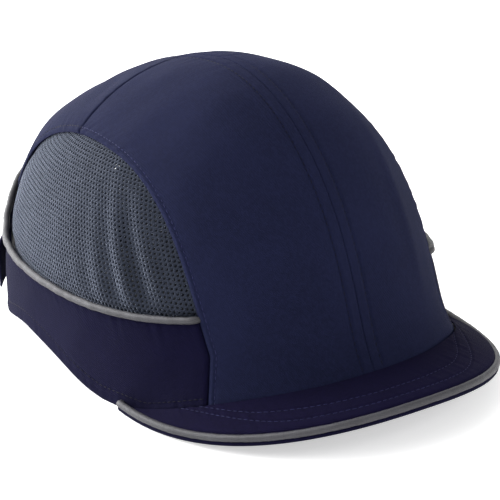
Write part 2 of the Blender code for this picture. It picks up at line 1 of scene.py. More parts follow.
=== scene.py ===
"""Bump cap: cloth crown, mesh sides, reflective piping, short brim, rear strap, shell insert.

Laid out as an add-on: the property groups hold what a user would change, each operator makes one
piece or a group of like pieces, and the panel in the 3D view's sidebar lists them.

A point on the crown is named on a disc: its direction is the angle round the head, 0 at the front
and positive towards +X, and its distance from the middle is the reach, 0 at the top of the crown
and 1 at its widest level. The wearer's right side is -X. All lengths are in metres.
"""

import json
import math

import bmesh
import bpy
import numpy as np
from bpy.props import FloatProperty, FloatVectorProperty, IntProperty, PointerProperty
from mathutils import Matrix, Vector


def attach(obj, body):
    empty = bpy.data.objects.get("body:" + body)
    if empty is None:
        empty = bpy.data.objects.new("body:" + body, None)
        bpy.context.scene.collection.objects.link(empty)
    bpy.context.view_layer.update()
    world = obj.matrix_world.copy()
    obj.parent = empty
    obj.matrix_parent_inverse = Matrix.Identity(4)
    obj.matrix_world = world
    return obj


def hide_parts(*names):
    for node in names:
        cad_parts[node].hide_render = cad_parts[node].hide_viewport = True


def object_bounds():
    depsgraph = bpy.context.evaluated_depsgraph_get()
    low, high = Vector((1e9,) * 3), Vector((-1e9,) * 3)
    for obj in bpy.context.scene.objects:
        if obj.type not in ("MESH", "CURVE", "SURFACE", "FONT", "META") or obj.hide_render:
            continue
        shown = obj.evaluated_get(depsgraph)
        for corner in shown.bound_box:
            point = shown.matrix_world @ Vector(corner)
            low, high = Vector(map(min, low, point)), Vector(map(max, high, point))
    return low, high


bl_info = {
    "name": "Bump cap",
    "version": (1, 0, 0),
    "blender": (4, 5, 0),
    "location": "3D View > Sidebar > Bump cap",
    "description": "Builds a cloth bump cap with mesh sides, reflective piping and a shell insert",
    "category": "Object",
}

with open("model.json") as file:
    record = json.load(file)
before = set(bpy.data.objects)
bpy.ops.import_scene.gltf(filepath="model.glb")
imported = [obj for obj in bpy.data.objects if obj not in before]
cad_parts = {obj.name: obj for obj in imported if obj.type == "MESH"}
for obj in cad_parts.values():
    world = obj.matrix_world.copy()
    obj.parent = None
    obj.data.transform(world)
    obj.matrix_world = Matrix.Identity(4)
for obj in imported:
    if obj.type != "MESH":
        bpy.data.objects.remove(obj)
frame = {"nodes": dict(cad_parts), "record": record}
CAD_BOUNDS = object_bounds()

# Crown: plan at its widest level, and the profile above it
HALF_WIDTH = 0.0855
FRONT_REACH = 0.1023
REAR_REACH = 0.1255
PLAN_POWER = 2.15
WALL_HEIGHT = 0.0132
CROWN_RISE = 0.118
FRONT_POWER = 2.08
SIDE_POWER = 2.21
REAR_POWER = 2.30
TOP_LEAN = 0.0071
REAR_DIP = 0.005
REAR_DIP_Y = 0.055
REAR_DIP_LENGTH = 0.032
REAR_DIP_WIDTH = 0.045
REAR_DIP_START = 0.060

# Lower edge of the cloth
FRONT_EDGE_LIFT = 0.0059
FRONT_EDGE_ANGLE = math.radians(65)
EAR_LOW_ANGLE = math.radians(68)
EAR_LOW_SPREAD = math.radians(25)
REAR_DROP_START = math.radians(112)
REAR_DROP_SPREAD = math.radians(40)
HEM_TUCK_FADE = math.radians(22.5)
FLARE = 0.0093
FLARE_FALL = 0.0139
FLARE_ANGLE = math.radians(75)
FLARE_FADE = math.radians(45)

# Seams and piping
GAP = 0.0004
SEAM_PARTING = 0.00006
SEAM_X_FRONT = 0.060
SEAM_X_REAR = 0.050
SEAM_BOW = 0.0032
SEAM_BOW_RISE = 0.006
SEAM_BOW_FADE_Y = -0.010
SEAM_BOW_FADE = 0.090
CROSS_SEAM_Y = 0.030
PIPING_HEIGHT = 0.040
PIPING_FRONT_LIFT = 0.006
PIPING_FRONT_FADE = math.radians(25)
PIPING_ARCH_LIFT = 0.030
PIPING_ARCH_START = math.radians(134)
PIPING_ARCH_SPREAD = math.radians(38)
CENTRE_ROW = 0.0052
SEAM_ROW = 0.0030
HEM_ROW = 0.0062
OPENING_WIDTH = 0.090
OPENING_TOP = 0.050

# Brim
BRIM_HALF_WIDTH = 0.0847
BRIM_REACH = 0.0991
BRIM_ROOT_Y = -0.0458
BRIM_POWER = 2.135
BRIM_FRONT_HEIGHT = 0.0178
BRIM_SIDE_DROP = 0.01973
BRIM_RISE = 0.064
BRIM_OUTER_ANGLE = math.radians(80)
BRIM_INNER_ANGLE = math.radians(54)
BRIM_STACK = 0.0034

# Strap across the rear opening
STRAP_LOW = 0.008
STRAP_WIDTH = 0.022
STRAP_LAYER_GAP = 0.0003
STRAP_THICKNESSES = (0.0009, 0.0005, 0.0005, 0.0009)
STRAP_SEWN_ANGLE = math.radians(146)
STRAP_ANCHOR_END = math.radians(156)
STRAP_BASE_END = math.radians(199)
STRAP_TONGUE_END = math.radians(196)
PATCH_START = math.radians(170)
PATCH_END = math.radians(192)

# Removable insert
SHELL_INSET = 0.0045
SHELL = 0.0020
SHELL_EDGE = 0.038
SHELL_REAR_LIFT = 0.018
SHELL_REAR_START = math.radians(130)
SHELL_REAR_SPREAD = math.radians(35)
SHELL_COLUMNS = 40
SHELL_ROWS = 10
VENT_ROWS = (3, 5, 7)
VENT_EVERY = 4
PAD = 0.0070
PAD_GAP = 0.0009

SWEATBAND_TOP = 0.036
SWEATBAND_END = math.radians(150)
SWEATBAND_INNER = 0.0030
SWEATBAND_OUTER = 0.0017
SWEATBAND_ROW = 6
SWEATBAND_QUILT = 20

COVER_CLOTH = 0.0006
COVER_ABOVE_FLOOR = 0.0004
TAPE_ABOVE_FLOOR = 0.0012
THREAD_PROUD = 0.0001
RIPPLE_SUM = 0.12
LONG_FOLD_X, LONG_FOLD_HEIGHT = 0.041, 0.075
LONG_FOLD_WIDTH, LONG_FOLD_RISE = 0.0040, 0.0007

VIEW_AZIMUTH, VIEW_ELEVATION, VIEW_ROLL = (math.radians(a) for a in (-33.252, 19.907, 2.07))
LENGTH_SHIFT = BRIM_REACH - BRIM_ROOT_Y + 0.0015 + CAD_BOUNDS[0][1]


# ---------------------------------------------------------------- settings


def length(name, description, default):
    return FloatProperty(
        name=name, description=description, default=default, min=0.0, unit="LENGTH", precision=5
    )


def amount(name, description, default, top=1.0):
    return FloatProperty(
        name=name, description=description, default=default, min=0.0, max=top, subtype="FACTOR"
    )


def colour(name, description, default):
    return FloatVectorProperty(
        name=name, description=description, default=default, size=3, min=0.0, max=1.0,
        subtype="COLOR",
    )


def slot_colour(slot):
    """The colour that the record gives this material slot."""
    found = [m["base_color"] for m in frame["record"]["materials"] if m["slot"] == slot]
    return tuple(found[0])


class CapClothSettings(bpy.types.PropertyGroup):
    """Twill panels, bands and brim covers."""

    panel_colour: colour("Panel colour", "Dye of the crown", (0.0064, 0.0078, 0.0235))
    band_colour: colour("Band colour", "Dye of the side bands", (0.0021, 0.0017, 0.0105))
    brim_colour: colour("Brim colour", "Dye of the brim", (0.0030, 0.0022, 0.0125))
    thickness: length("Thickness", "Thickness of the twill as it shows at an edge", 0.0008)
    ripple: length("Ripple", "How far the cloth wanders from its form", 0.00045)
    pucker: length("Pucker", "Gathering beside a sewn seam", 0.00016)
    twill: length("Twill pitch", "Distance between the twill's diagonal ribs", 0.00075)


class CapMeshSettings(bpy.types.PropertyGroup):
    """Open side panels."""

    mesh_colour: colour("Mesh colour", "Dye of the mesh", (0.028, 0.034, 0.052))
    pitch: length("Hole pitch", "Distance between holes in a row", 0.0022)
    hole: amount("Hole share", "Width of a hole as a share of its cell", 0.46)


class CapTrimSettings(bpy.types.PropertyGroup):
    """Piping, bindings and thread."""

    piping_radius: length("Piping radius", "Radius of the reflective piping", 0.0016)
    piping_colour: colour("Piping colour", "Grey of the piping", (0.050, 0.049, 0.056))
    stitch: length("Stitch length", "Distance between needle holes", 0.0027)
    thread: length("Thread width", "Width of the sewing thread", 0.00030)
    thread_colour: colour("Thread colour", "Dye of the thread", (0.032, 0.034, 0.115))


class CapInsertSettings(bpy.types.PropertyGroup):
    """Shell, pads and sweatband."""

    shell_colour: colour("Shell colour", "Colour of the moulded shell", slot_colour("shell"))
    foam_colour: colour("Foam colour", "Colour of the pads", slot_colour("foam"))
    sweatband_puff: length("Sweatband puff", "How far its padding swells", 0.0016)
    shell_smoothing: IntProperty(
        name="Shell smoothing",
        description="Subdivision levels of the shell",
        default=3,
        min=0,
        max=4,
    )


class CapStageSettings(bpy.types.PropertyGroup):
    """Floor, lights and camera."""

    floor_colour: colour("Floor colour", "Colour of the floor", (0.87, 0.87, 0.87))
    room: amount("Room light", "Light that comes evenly from all sides", 0.45, 4.0)
    room_side: amount("Side light", "Extra light from the brighter side of the room", 7.0, 12.0)
    distance: length("Camera distance", "From the lens to the middle of the cap", 1.1)
    focal: FloatProperty(
        name="Focal length", description="Focal length on a 36 mm sensor", default=178.27,
        min=10.0, unit="CAMERA",
    )


# ---------------------------------------------------------------- the crown's form


def smooth(value):
    """0 below 0, 1 above 1, and a smooth rise between."""
    value = np.clip(value, 0.0, 1.0)
    return value * value * (3 - 2 * value)


def bump(value, centre, width):
    """A smooth hump of height 1."""
    return np.exp(-(((value - centre) / width) ** 2))


def mix(low, high, share):
    return low + (high - low) * share


def turned(angle):
    return (angle + math.pi) % math.tau - math.pi


def profile_power(angle):
    front = np.maximum(np.cos(angle), 0.0) ** 2
    rear = np.maximum(-np.cos(angle), 0.0) ** 2
    return FRONT_POWER * front + REAR_POWER * rear + SIDE_POWER * (1 - front - rear)


def plan_radius(angle, inset=0.0):
    reach = np.where(np.cos(angle) > 0, FRONT_REACH, REAR_REACH)
    across = np.abs(np.sin(angle)) / (HALF_WIDTH - inset)
    along = np.abs(np.cos(angle)) / (reach - inset)
    return (across**PLAN_POWER + along**PLAN_POWER) ** (-1 / PLAN_POWER)


def cloth_edge(angle):
    """Height at which the crown's cloth meets the brim, or ends."""
    angle = np.abs(turned(angle))
    front = FRONT_EDGE_LIFT * smooth(1 - angle / FRONT_EDGE_ANGLE)
    ear = WALL_HEIGHT * bump(angle, EAR_LOW_ANGLE, EAR_LOW_SPREAD)
    rear = WALL_HEIGHT * smooth((angle - REAR_DROP_START) / REAR_DROP_SPREAD)
    return np.maximum(WALL_HEIGHT + front - ear - rear, 0.0)


def hem_height(angle):
    """Lower edge of the cloth: behind the brim it goes down past the brim's layers."""
    behind_brim = smooth((FLARE_ANGLE - np.abs(turned(angle))) / HEM_TUCK_FADE)
    return np.maximum(cloth_edge(angle) - BRIM_STACK * behind_brim, 0.0)


def reach_at(angle, height):
    rise = (height - WALL_HEIGHT) / CROWN_RISE
    dome = np.arccos(np.clip(np.maximum(rise, 0.0) ** (profile_power(angle) / 2), 0.0, 1.0))
    return np.where(rise < 0, 1 - rise * 2 / math.pi, dome * 2 / math.pi)


def crown(angle, reach, inset=0.0, flared=True):
    """The points of the crown at these angles and reaches."""
    tilt = np.minimum(reach, 1.0) * math.pi / 2
    share = np.sin(tilt)
    dome = (CROWN_RISE - inset) * np.maximum(np.cos(tilt), 0.0) ** (2 / profile_power(angle))
    height = np.where(
        reach > 1, WALL_HEIGHT - (reach - 1) * CROWN_RISE * math.pi / 2, WALL_HEIGHT + dome
    )
    radius = plan_radius(angle, inset) * share
    if flared:
        above = np.maximum(height - cloth_edge(angle), 0.0)
        near = smooth((FLARE_ANGLE - np.abs(turned(angle))) / FLARE_FADE)
        radius = radius + FLARE * near * np.exp(-above / FLARE_FALL)
    x = radius * np.sin(angle)
    y = -radius * np.cos(angle) - TOP_LEAN * (1 - share)
    off_dip = ((y - REAR_DIP_Y) / REAR_DIP_LENGTH) ** 2 + (x / REAR_DIP_WIDTH) ** 2
    dip = REAR_DIP * np.exp(-off_dip / 2) * smooth((height - WALL_HEIGHT) / REAR_DIP_START)
    return np.stack([x, y + LENGTH_SHIFT, height - dip], -1)


def disc_point(angle, reach):
    return np.stack([reach * np.sin(angle), -reach * np.cos(angle)], -1)


def on_disc(angle, height):
    return disc_point(angle, reach_at(angle, height))


def over(x, y):
    """Disc points of the crown above plan points."""
    angle = np.arctan2(x, -y)
    share = np.minimum(np.hypot(x, y) / plan_radius(angle), 1.0)
    return disc_point(angle, np.arcsin(share) * 2 / math.pi)


def disc_angle(point):
    return np.arctan2(point[..., 0], -point[..., 1])


def from_disc(point, inset=0.0, flared=True):
    return crown(disc_angle(point), np.hypot(point[..., 0], point[..., 1]), inset, flared)


def unit(vectors):
    size = np.linalg.norm(vectors, axis=-1, keepdims=True)
    return vectors / np.maximum(size, 1e-12)


def outward(point, inset=0.0, flared=True):
    """Directions straight out of the crown at disc points."""
    step = 2e-4
    across = np.array([step, 0.0])
    along = np.array([0.0, step])
    first = from_disc(point + across, inset, flared) - from_disc(point - across, inset, flared)
    second = from_disc(point + along, inset, flared) - from_disc(point - along, inset, flared)
    return unit(np.cross(first, second))


def plain_height(point):
    """Height of disc points on the form without the dip behind the top."""
    tilt = np.minimum(np.hypot(point[..., 0], point[..., 1]), 1.0) * math.pi / 2
    lift = np.maximum(np.cos(tilt), 0.0) ** (2 / profile_power(disc_angle(point)))
    return WALL_HEIGHT + CROWN_RISE * lift


def plan_point(point):
    """Plan x and y of disc points, without the lean and the flare."""
    angle = disc_angle(point)
    share = np.sin(np.minimum(np.hypot(point[..., 0], point[..., 1]), 1.0) * math.pi / 2)
    radius = plan_radius(angle) * share
    return radius * np.sin(angle), -radius * np.cos(angle)


# Seam lines, each a function of 0 to 1 that gives disc points on the +X side


def seam_x(y):
    """Half the width between the long seams, which run in to the rear and bow out over the ears."""
    share = (y + FRONT_REACH) / (FRONT_REACH + REAR_REACH)
    behind_foot = np.maximum(y + plan_half_length(FRONT_REACH, SEAM_X_FRONT), 0.0)
    rise = 1 - np.exp(-behind_foot / SEAM_BOW_RISE)
    fade = 1 - smooth((y - SEAM_BOW_FADE_Y) / SEAM_BOW_FADE)
    return mix(SEAM_X_FRONT, SEAM_X_REAR, share) + SEAM_BOW * rise * fade


def plan_half_length(reach, x):
    return reach * (1 - (x / HALF_WIDTH) ** PLAN_POWER) ** (1 / PLAN_POWER)


SEAM_FOOT = math.atan2(SEAM_X_FRONT, plan_half_length(FRONT_REACH, SEAM_X_FRONT))


def side_seam(share):
    front = -plan_half_length(FRONT_REACH, SEAM_X_FRONT)
    rear = plan_half_length(REAR_REACH, SEAM_X_REAR)
    y = mix(front, rear, (1 - np.cos(np.asarray(share) * math.pi)) / 2)
    return over(seam_x(y), y)


def piping_height(angle):
    angle = np.abs(turned(angle))
    front = np.exp(-np.maximum(angle - SEAM_FOOT, 0.0) / PIPING_FRONT_FADE)
    arch = smooth((angle - PIPING_ARCH_START) / PIPING_ARCH_SPREAD)
    return PIPING_HEIGHT + PIPING_FRONT_LIFT * front + PIPING_ARCH_LIFT * arch


def share_where(test):
    """The first share of the side seam for which the test holds."""
    shares = np.linspace(0.0, 1.0, 6001)
    return shares[np.argmax(test(side_seam(shares)))]


def above_piping(point):
    return plain_height(point) - piping_height(disc_angle(point))


def meets_piping_front():
    return share_where(lambda p: above_piping(p) > 0)


def meets_piping_rear():
    return share_where(lambda p: (plan_point(p)[1] > 0) & (above_piping(p) < 0))


def meets_cross_seam():
    return share_where(lambda p: plan_point(p)[1] > CROSS_SEAM_Y)


def part_of(curve, first, last):
    return lambda share: curve(mix(first, last, np.asarray(share)))


def down_to_hem(share):
    foot = np.full_like(np.asarray(share, float), SEAM_FOOT)
    return on_disc(foot, mix(hem_height(SEAM_FOOT), WALL_HEIGHT, np.asarray(share)))


def joined(first, second, split):
    """One curve made of two: the first up to the split, the second after it."""

    def curve(share):
        share = np.asarray(share, float)
        low = first(np.clip(share / split, 0.0, 1.0))
        high = second(np.clip((share - split) / (1 - split), 0.0, 1.0))
        return np.where((share < split)[..., None], low, high)

    return curve


def run_along(points):
    """Distance run along a line of points."""
    return np.concatenate([[0.0], np.cumsum(np.linalg.norm(np.diff(points, axis=0), axis=-1))])


def evenly(curve, samples=900):
    """The same curve, run at an even pace along the cloth."""
    shares = np.linspace(0.0, 1.0, samples + 1)
    points = curve(shares)
    run = run_along(from_disc(points))
    run = run / run[-1]

    def paced(share):
        share = np.asarray(share, float)
        return np.stack([np.interp(share, run, points[:, i]) for i in (0, 1)], -1)

    return paced


def patch(bottom, top, left, right):
    """A smooth patch between four edge curves that meet at their ends."""

    def at(u, v):
        u, v = np.broadcast_arrays(u, v)
        over_v, over_u = v[..., None], u[..., None]
        ruled = mix(bottom(u), top(u), over_v) + mix(left(v), right(v), over_u)
        low = mix(bottom(0.0), bottom(1.0), over_u)
        high = mix(top(0.0), top(1.0), over_u)
        return ruled - mix(low, high, over_v)

    return at


def flipped(curve):
    """The curve on the other side of the cap."""
    return lambda share: curve(share) * np.array([-1.0, 1.0])


# ---------------------------------------------------------------- cloth surfaces


def crowded(count, crowding=0.8):
    """Shares from 0 to 1 that stand closer together near both ends."""
    steps = np.linspace(0.0, 1.0, count + 1)
    return steps - crowding * np.sin(math.tau * steps) / math.tau


def edge_distances(points):
    """Distance of each grid point from the first and the last column, and row, along the cloth."""
    found = []
    for axis in (0, 1):
        steps = np.linalg.norm(np.diff(points, axis=axis), axis=-1)
        none = np.zeros_like(points[..., 0]).take([0], axis)
        run = np.concatenate([none, steps.cumsum(axis)], axis)
        found += [run, run.take([-1], axis) - run]
    return found


def ripples(points, seed, size):
    """Soft folds of loose cloth: a few long waves across each other."""
    chance = np.random.default_rng(seed)
    total = 0.0
    for wave in (0.071, 0.049, 0.036, 0.027, 0.019):
        direction = unit(chance.normal(size=3))
        total = total + wave * np.sin(points @ direction * math.tau / wave + chance.uniform(0, 6.3))
    return total / RIPPLE_SUM * size


def puckers(along, distance, seed, size):
    """Short gathers across a sewn edge that fade away from it."""
    chance = np.random.default_rng(seed)
    waves = 0.0
    for pitch in (0.0047, 0.0061, 0.0083):
        waves = waves + np.sin(along * math.tau / pitch + chance.uniform(0, 6.3))
    fade = np.exp(-distance / 0.0050) * (1 - np.exp(-distance / 0.0012))
    return waves * fade * size


def seam_roll(distance, depth=0.0007, width=0.0009):
    """Cloth turning down into a seam."""
    return -depth * np.exp(-((distance / width) ** 1.5))


def stitch_valley(distance, row, depth=0.00022, width=0.00065):
    return -depth * bump(distance, row, width)


class Cloth:
    """A grid of cloth over the crown, with its own relief, from which rows of stitches are read."""

    def __init__(self, area, cells, relief, side=1, inset=0.0, crowding=0.8):
        u = crowded(cells[0], crowding)[:, None]
        v = crowded(cells[1], crowding)[None, :]
        across, up = (SEAM_PARTING / self.size_of(area, along_u) for along_u in (True, False))
        disc = area(mix(across, 1 - across, u), mix(0.0, 1 - up, v))
        base = from_disc(disc, inset)
        self.gaps = edge_distances(base)
        self.run_u, self.run_v = self.gaps[0], self.gaps[2]
        lift = relief(base, *self.gaps)
        self.points = base + outward(disc, inset) * lift[..., None]
        self.uv = np.stack([self.run_u, self.run_v], -1)
        if side < 0:
            self.points = self.points * np.array([-1.0, 1.0, 1.0])

    @staticmethod
    def size_of(area, along_u):
        """Length of the cloth through its middle, one way or the other."""
        steps, half = np.linspace(0.0, 1.0, 60), np.full(60, 0.5)
        return run_along(from_disc(area(steps, half) if along_u else area(half, steps)))[-1]

    def row(self, edge, distance, first=0.0, last=1.0, lift=0.00010):
        """Points on the cloth at a distance from one edge: 0 left, 1 right, 2 bottom, 3 top."""
        gap = self.gaps[edge]
        points = self.points
        if edge < 2:
            gap, points = gap.T, points.transpose(1, 0, 2)
        if edge % 2:
            gap, points = gap[:, ::-1], points[:, ::-1]
        line = np.array(
            [[np.interp(distance, g, p[:, i]) for i in range(3)] for g, p in zip(gap, points)]
        )
        run = run_along(line)
        keep = np.linspace(first, last, len(line)) * run[-1]
        line = np.stack([np.interp(keep, run, line[:, i]) for i in range(3)], -1)
        away = unit(line - np.array([0.0, LENGTH_SHIFT, 0.03]))
        return line + away * lift


# ---------------------------------------------------------------- meshes and pieces


def new_piece(name, mesh, finish):
    thing = bpy.data.objects.new(name, mesh)
    bpy.context.scene.collection.objects.link(thing)
    mesh.materials.clear()
    mesh.materials.append(finish)
    return thing


def map_points(mesh, uv):
    """A UV map from one UV for each point of the mesh."""
    loops = np.empty(len(mesh.loops), np.int32)
    mesh.loops.foreach_get("vertex_index", loops)
    layer = mesh.uv_layers.get("UVMap") or mesh.uv_layers.new(name="UVMap")
    layer.data.foreach_set("uv", uv.reshape(-1, 2)[loops].astype(np.float32).ravel())


def hand(side):
    """The wearer's side that +1 or -1 along X stands for."""
    return "left" if side > 0 else "right"


def grid_mesh(name, points, uv, facing=None):
    """A quad grid over points[i][j], with a UV map in metres, its faces turned to one side."""
    columns, rows = points.shape[:2]
    index = np.arange(columns * rows).reshape(columns, rows)
    start, following = index[:-1], index[1:]
    quads = np.stack(
        [start[:, :-1], following[:, :-1], following[:, 1:], start[:, 1:]], -1
    ).reshape(-1, 4)
    flat = points.reshape(-1, 3)
    corners = flat[quads]
    normals = np.cross(corners[:, 2] - corners[:, 0], corners[:, 3] - corners[:, 1])
    centres = corners.mean(1)
    away = centres - np.array([0.0, LENGTH_SHIFT, 0.0]) if facing is None else np.asarray(facing)
    if (normals * away).sum() < 0:
        quads = quads[:, ::-1]
    mesh = bpy.data.meshes.new(name)
    mesh.from_pydata(flat.tolist(), [], quads.tolist())
    layer = mesh.uv_layers.new(name="UVMap")
    layer.data.foreach_set("uv", uv.reshape(-1, 2)[quads.reshape(-1)].astype(np.float32).ravel())
    mesh.shade_smooth()
    return mesh


def settle(thing):
    """Makes the piece with all its modifiers one plain mesh."""
    graph = bpy.context.evaluated_depsgraph_get()
    mesh = bpy.data.meshes.new_from_object(
        thing.evaluated_get(graph), preserve_all_data_layers=True, depsgraph=graph
    )
    thing.modifiers.clear()
    old, thing.data = thing.data, mesh
    mesh.name = thing.name
    bpy.data.meshes.remove(old)
    return thing


def thicken(thing, thickness, offset=-1.0):
    solid = thing.modifiers.new("Thickness", "SOLIDIFY")
    solid.thickness = thickness
    solid.offset = offset
    return settle(thing)


def smoothed(thing, levels=1):
    soft = thing.modifiers.new("Smooth", "SUBSURF")
    soft.levels = soft.render_levels = levels
    return settle(thing)


def join_up(thing, body, slot, *nodes):
    """Hands the piece to the frame: its body and the solids it stands for. Its slot is not used."""
    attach(thing, body)
    if nodes:
        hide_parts(*nodes)
    return thing


def tube_points(line, radius, sides, squash):
    """Rings round a line of points. The radius may be one number or one for each point."""
    tangent = unit(np.gradient(line, axis=0))
    reference = unit(line - np.array([0.0, LENGTH_SHIFT, 0.02]))
    side = unit(np.cross(tangent, reference))
    top = np.cross(side, tangent)
    turn = np.linspace(0.0, math.tau, sides, endpoint=False)
    radius = np.broadcast_to(np.asarray(radius, float), len(line))[:, None, None]
    ring = (
        side[:, None] * np.cos(turn)[None, :, None] * squash
        + top[:, None] * np.sin(turn)[None, :, None]
    )
    return line[:, None] + ring * radius


def tube_mesh(name, line, radius, sides=12, squash=1.0):
    """A closed cord along a line, rounded off at both ends."""
    count = len(line)
    radius = np.broadcast_to(np.asarray(radius, float), count).copy()
    ends = np.array([0.35, 0.75, 0.94])
    radius[:3] *= ends
    radius[-3:] *= ends[::-1]
    rings = tube_points(line, radius, sides, squash)
    run = run_along(line)
    turn = np.arange(sides) / sides
    uv = np.stack(np.broadcast_arrays(run[:, None], turn[None, :] * 0.01), -1)
    verts = rings.reshape(-1, 3)
    index = np.arange(count * sides).reshape(count, sides)
    after = np.roll(index, -1, 1)
    quads = np.stack([index[:-1], after[:-1], after[1:], index[1:]], -1).reshape(-1, 4)
    corners = verts[quads]
    centres = line[:-1].repeat(sides, 0)
    normals = np.cross(corners[:, 2] - corners[:, 0], corners[:, 3] - corners[:, 1])
    inside_out = (normals * (corners.mean(1) - centres)).sum() < 0
    faces = quads[:, ::-1].tolist() if inside_out else quads.tolist()
    first, last = index[0].tolist(), index[-1].tolist()
    faces += [first if inside_out else first[::-1], last[::-1] if inside_out else last]
    mesh = bpy.data.meshes.new(name)
    mesh.from_pydata(verts.tolist(), [], faces)
    map_points(mesh, uv)
    mesh.shade_smooth()
    return mesh


def resampled(line, pitch):
    run = run_along(line)
    count = max(int(run[-1] / pitch), 4)
    places = np.linspace(0.0, run[-1], count + 1)
    return np.stack([np.interp(places, run, line[:, i]) for i in range(3)], -1)


# ---------------------------------------------------------------- shader sums


class Wire:
    """A node's output that takes part in sums: each sum adds its Math node."""

    def __init__(self, finish, socket):
        self.finish, self.socket = finish, socket

    def math(self, operation, *values):
        sockets = dict(enumerate(values))
        return self.finish.add("ShaderNodeMath", {"operation": operation}, sockets)

    def __add__(self, other):
        return self.math("ADD", self, other)

    def __sub__(self, other):
        return self.math("SUBTRACT", self, other)

    def __rsub__(self, other):
        return self.math("SUBTRACT", other, self)

    def __mul__(self, other):
        return self.math("MULTIPLY", self, other)

    def __truediv__(self, other):
        return self.math("DIVIDE", self, other)

    def __pow__(self, other):
        return self.math("POWER", self, other)

    __radd__ = __add__
    __rmul__ = __mul__

    def sine(self):
        return self.math("SINE", self)

    def between(self, low, high):
        """0 where it is under low and 1 over high, with a smooth rise."""
        return self.finish.add(
            "ShaderNodeMapRange",
            {"interpolation_type": "SMOOTHSTEP"},
            {"Value": self, "From Min": low, "From Max": high},
        )


class Finish:
    """A material, made of nodes that are added one at a time."""

    def __init__(self, name):
        self.material = bpy.data.materials.new(name)
        self.material.use_nodes = True
        self.tree = self.material.node_tree
        self.shader = self.tree.nodes["Principled BSDF"]

    def add(self, kind, settings=None, sockets=None, output=0):
        """A node with its settings, then the values or wires of its sockets. Gives one output."""
        node = self.tree.nodes.new(kind)
        for key, value in (settings or {}).items():
            if key == "stops":
                self.set_stops(node.color_ramp, value)
            else:
                setattr(node, key, value)
        for key, value in (sockets or {}).items():
            if isinstance(value, Wire):
                self.tree.links.new(value.socket, node.inputs[key])
            else:
                node.inputs[key].default_value = value
        return Wire(self, node.outputs[output])

    @staticmethod
    def set_stops(ramp, stops):
        while len(ramp.elements) < len(stops):
            ramp.elements.new(1.0)
        for element, (place, shade) in zip(ramp.elements, stops):
            element.position = place
            element.color = (*shade, 1.0)

    def place(self, kind="Object"):
        return self.add("ShaderNodeTexCoord", output=kind)

    def uv(self):
        """The two UV coordinates, in metres along and across the cloth."""
        whole = self.add("ShaderNodeSeparateXYZ", sockets={0: self.place("UV")})
        return whole, Wire(self, whole.socket.node.outputs[1])

    def noise(self, scale, detail=2.0, roughness=0.5, where=None):
        sockets = {"Vector": where or self.place(), "Scale": scale, "Detail": detail}
        sockets["Roughness"] = roughness
        return self.add("ShaderNodeTexNoise", sockets=sockets)

    def blend(self, share, first, second):
        """One colour fading to another."""
        node = self.add("ShaderNodeMix", {"data_type": "RGBA"}, output=2).socket.node
        for key, value in ((0, share), (6, first), (7, second)):
            if isinstance(value, Wire):
                self.tree.links.new(value.socket, node.inputs[key])
            else:
                node.inputs[key].default_value = (*value, 1.0) if key else value
        return Wire(self, node.outputs[2])

    def relief(self, height, distance, strength=1.0, under=None):
        sockets = {"Height": height, "Distance": distance, "Strength": strength}
        if under:
            sockets["Normal"] = under
        return self.add("ShaderNodeBump", sockets=sockets)

    def done(self, wires, **steady):
        """Wires go to the shader's sockets by name; steady values are set on them."""
        for name, wire in wires.items():
            self.tree.links.new(wire.socket, self.shader.inputs[name])
        for name, value in steady.items():
            self.shader.inputs[name.replace("_", " ")].default_value = value
        return self.material


def shade(base, share):
    """A colour made lighter or darker."""
    return tuple(min(max(part * share, 0.0), 1.0) for part in base)


def twill_finish(name, dye, pitch, sheen=0.03, steep=1.0):
    """Twill: fine diagonal ribs crossed by the yarns, with faint fading and lint, and a painted
    highlight on the raised weave.
    """
    finish = Finish(name)
    along, across = finish.uv()
    turns = math.tau / pitch
    ribs = ((along + across * steep) * turns).sine()
    yarns = ((along - across * 0.35) * (turns * 1.9)).sine()
    weave = ribs * 0.5 + yarns * 0.22 + 0.5
    patches = finish.noise(23.0, 4.0, 0.6)
    lint = finish.noise(1700.0, 3.0, 0.8)
    wear_and_shade = patches.between(0.32, 0.72)
    tone = finish.blend(wear_and_shade, shade(dye, 0.82), shade(dye, 1.22))
    grain = finish.noise(640.0, 2.0, 0.8)
    tone = finish.blend(grain.between(0.42, 0.62) * 0.45, tone, shade(dye, 1.9))
    # Painted highlight: the raised ribs and yarns of the weave are made lighter.
    weave_highlight_tone = finish.blend(weave.between(0.1, 0.9) * 0.60, tone, shade(dye, 2.0))
    fleck = finish.blend(lint.between(0.60, 0.78) * 0.35, weave_highlight_tone, shade(dye, 3.4))
    fuzz = finish.relief(lint, 0.00016, 0.7)
    normal = finish.relief(weave, 0.00014, 0.8, fuzz)
    rough = 0.80 + lint * 0.16 - weave * 0.05
    return finish.done(
        {"Base Color": fleck, "Roughness": rough, "Normal": normal},
        Sheen_Weight=sheen, Sheen_Roughness=0.45, Sheen_Tint=(0.40, 0.46, 1.0, 1.0),
        Specular_IOR_Level=0.05,
    )


def mesh_finish(name, dye):
    """Knitted mesh: tiny loops between the holes, lighter where they stand up, with painted shade
    in the low spots between them.
    """
    finish = Finish(name)
    along, across = finish.uv()
    loops = (along * (math.tau / 0.00055)).sine() * (across * (math.tau / 0.00064)).sine()
    lint = finish.noise(1900.0, 3.0, 0.7)
    patches = finish.noise(30.0, 3.0, 0.6)
    height = loops * 0.35 + lint * 0.6
    tone = finish.blend(patches.between(0.3, 0.7), shade(dye, 0.85), shade(dye, 1.15))
    # Painted shade: the knit is darker where its loops lie low.
    knit_with_painted_shade = finish.blend(height.between(0.0, 0.62), shade(dye, 0.42), tone)
    normal = finish.relief(height, 0.00025, 0.7)
    rough = 0.72 + lint * 0.2
    return finish.done(
        {"Base Color": knit_with_painted_shade, "Roughness": rough, "Normal": normal},
        Sheen_Weight=1.0, Sheen_Roughness=0.24, Sheen_Tint=(0.72, 0.80, 1.0, 1.0),
        Specular_IOR_Level=0.08,
    )


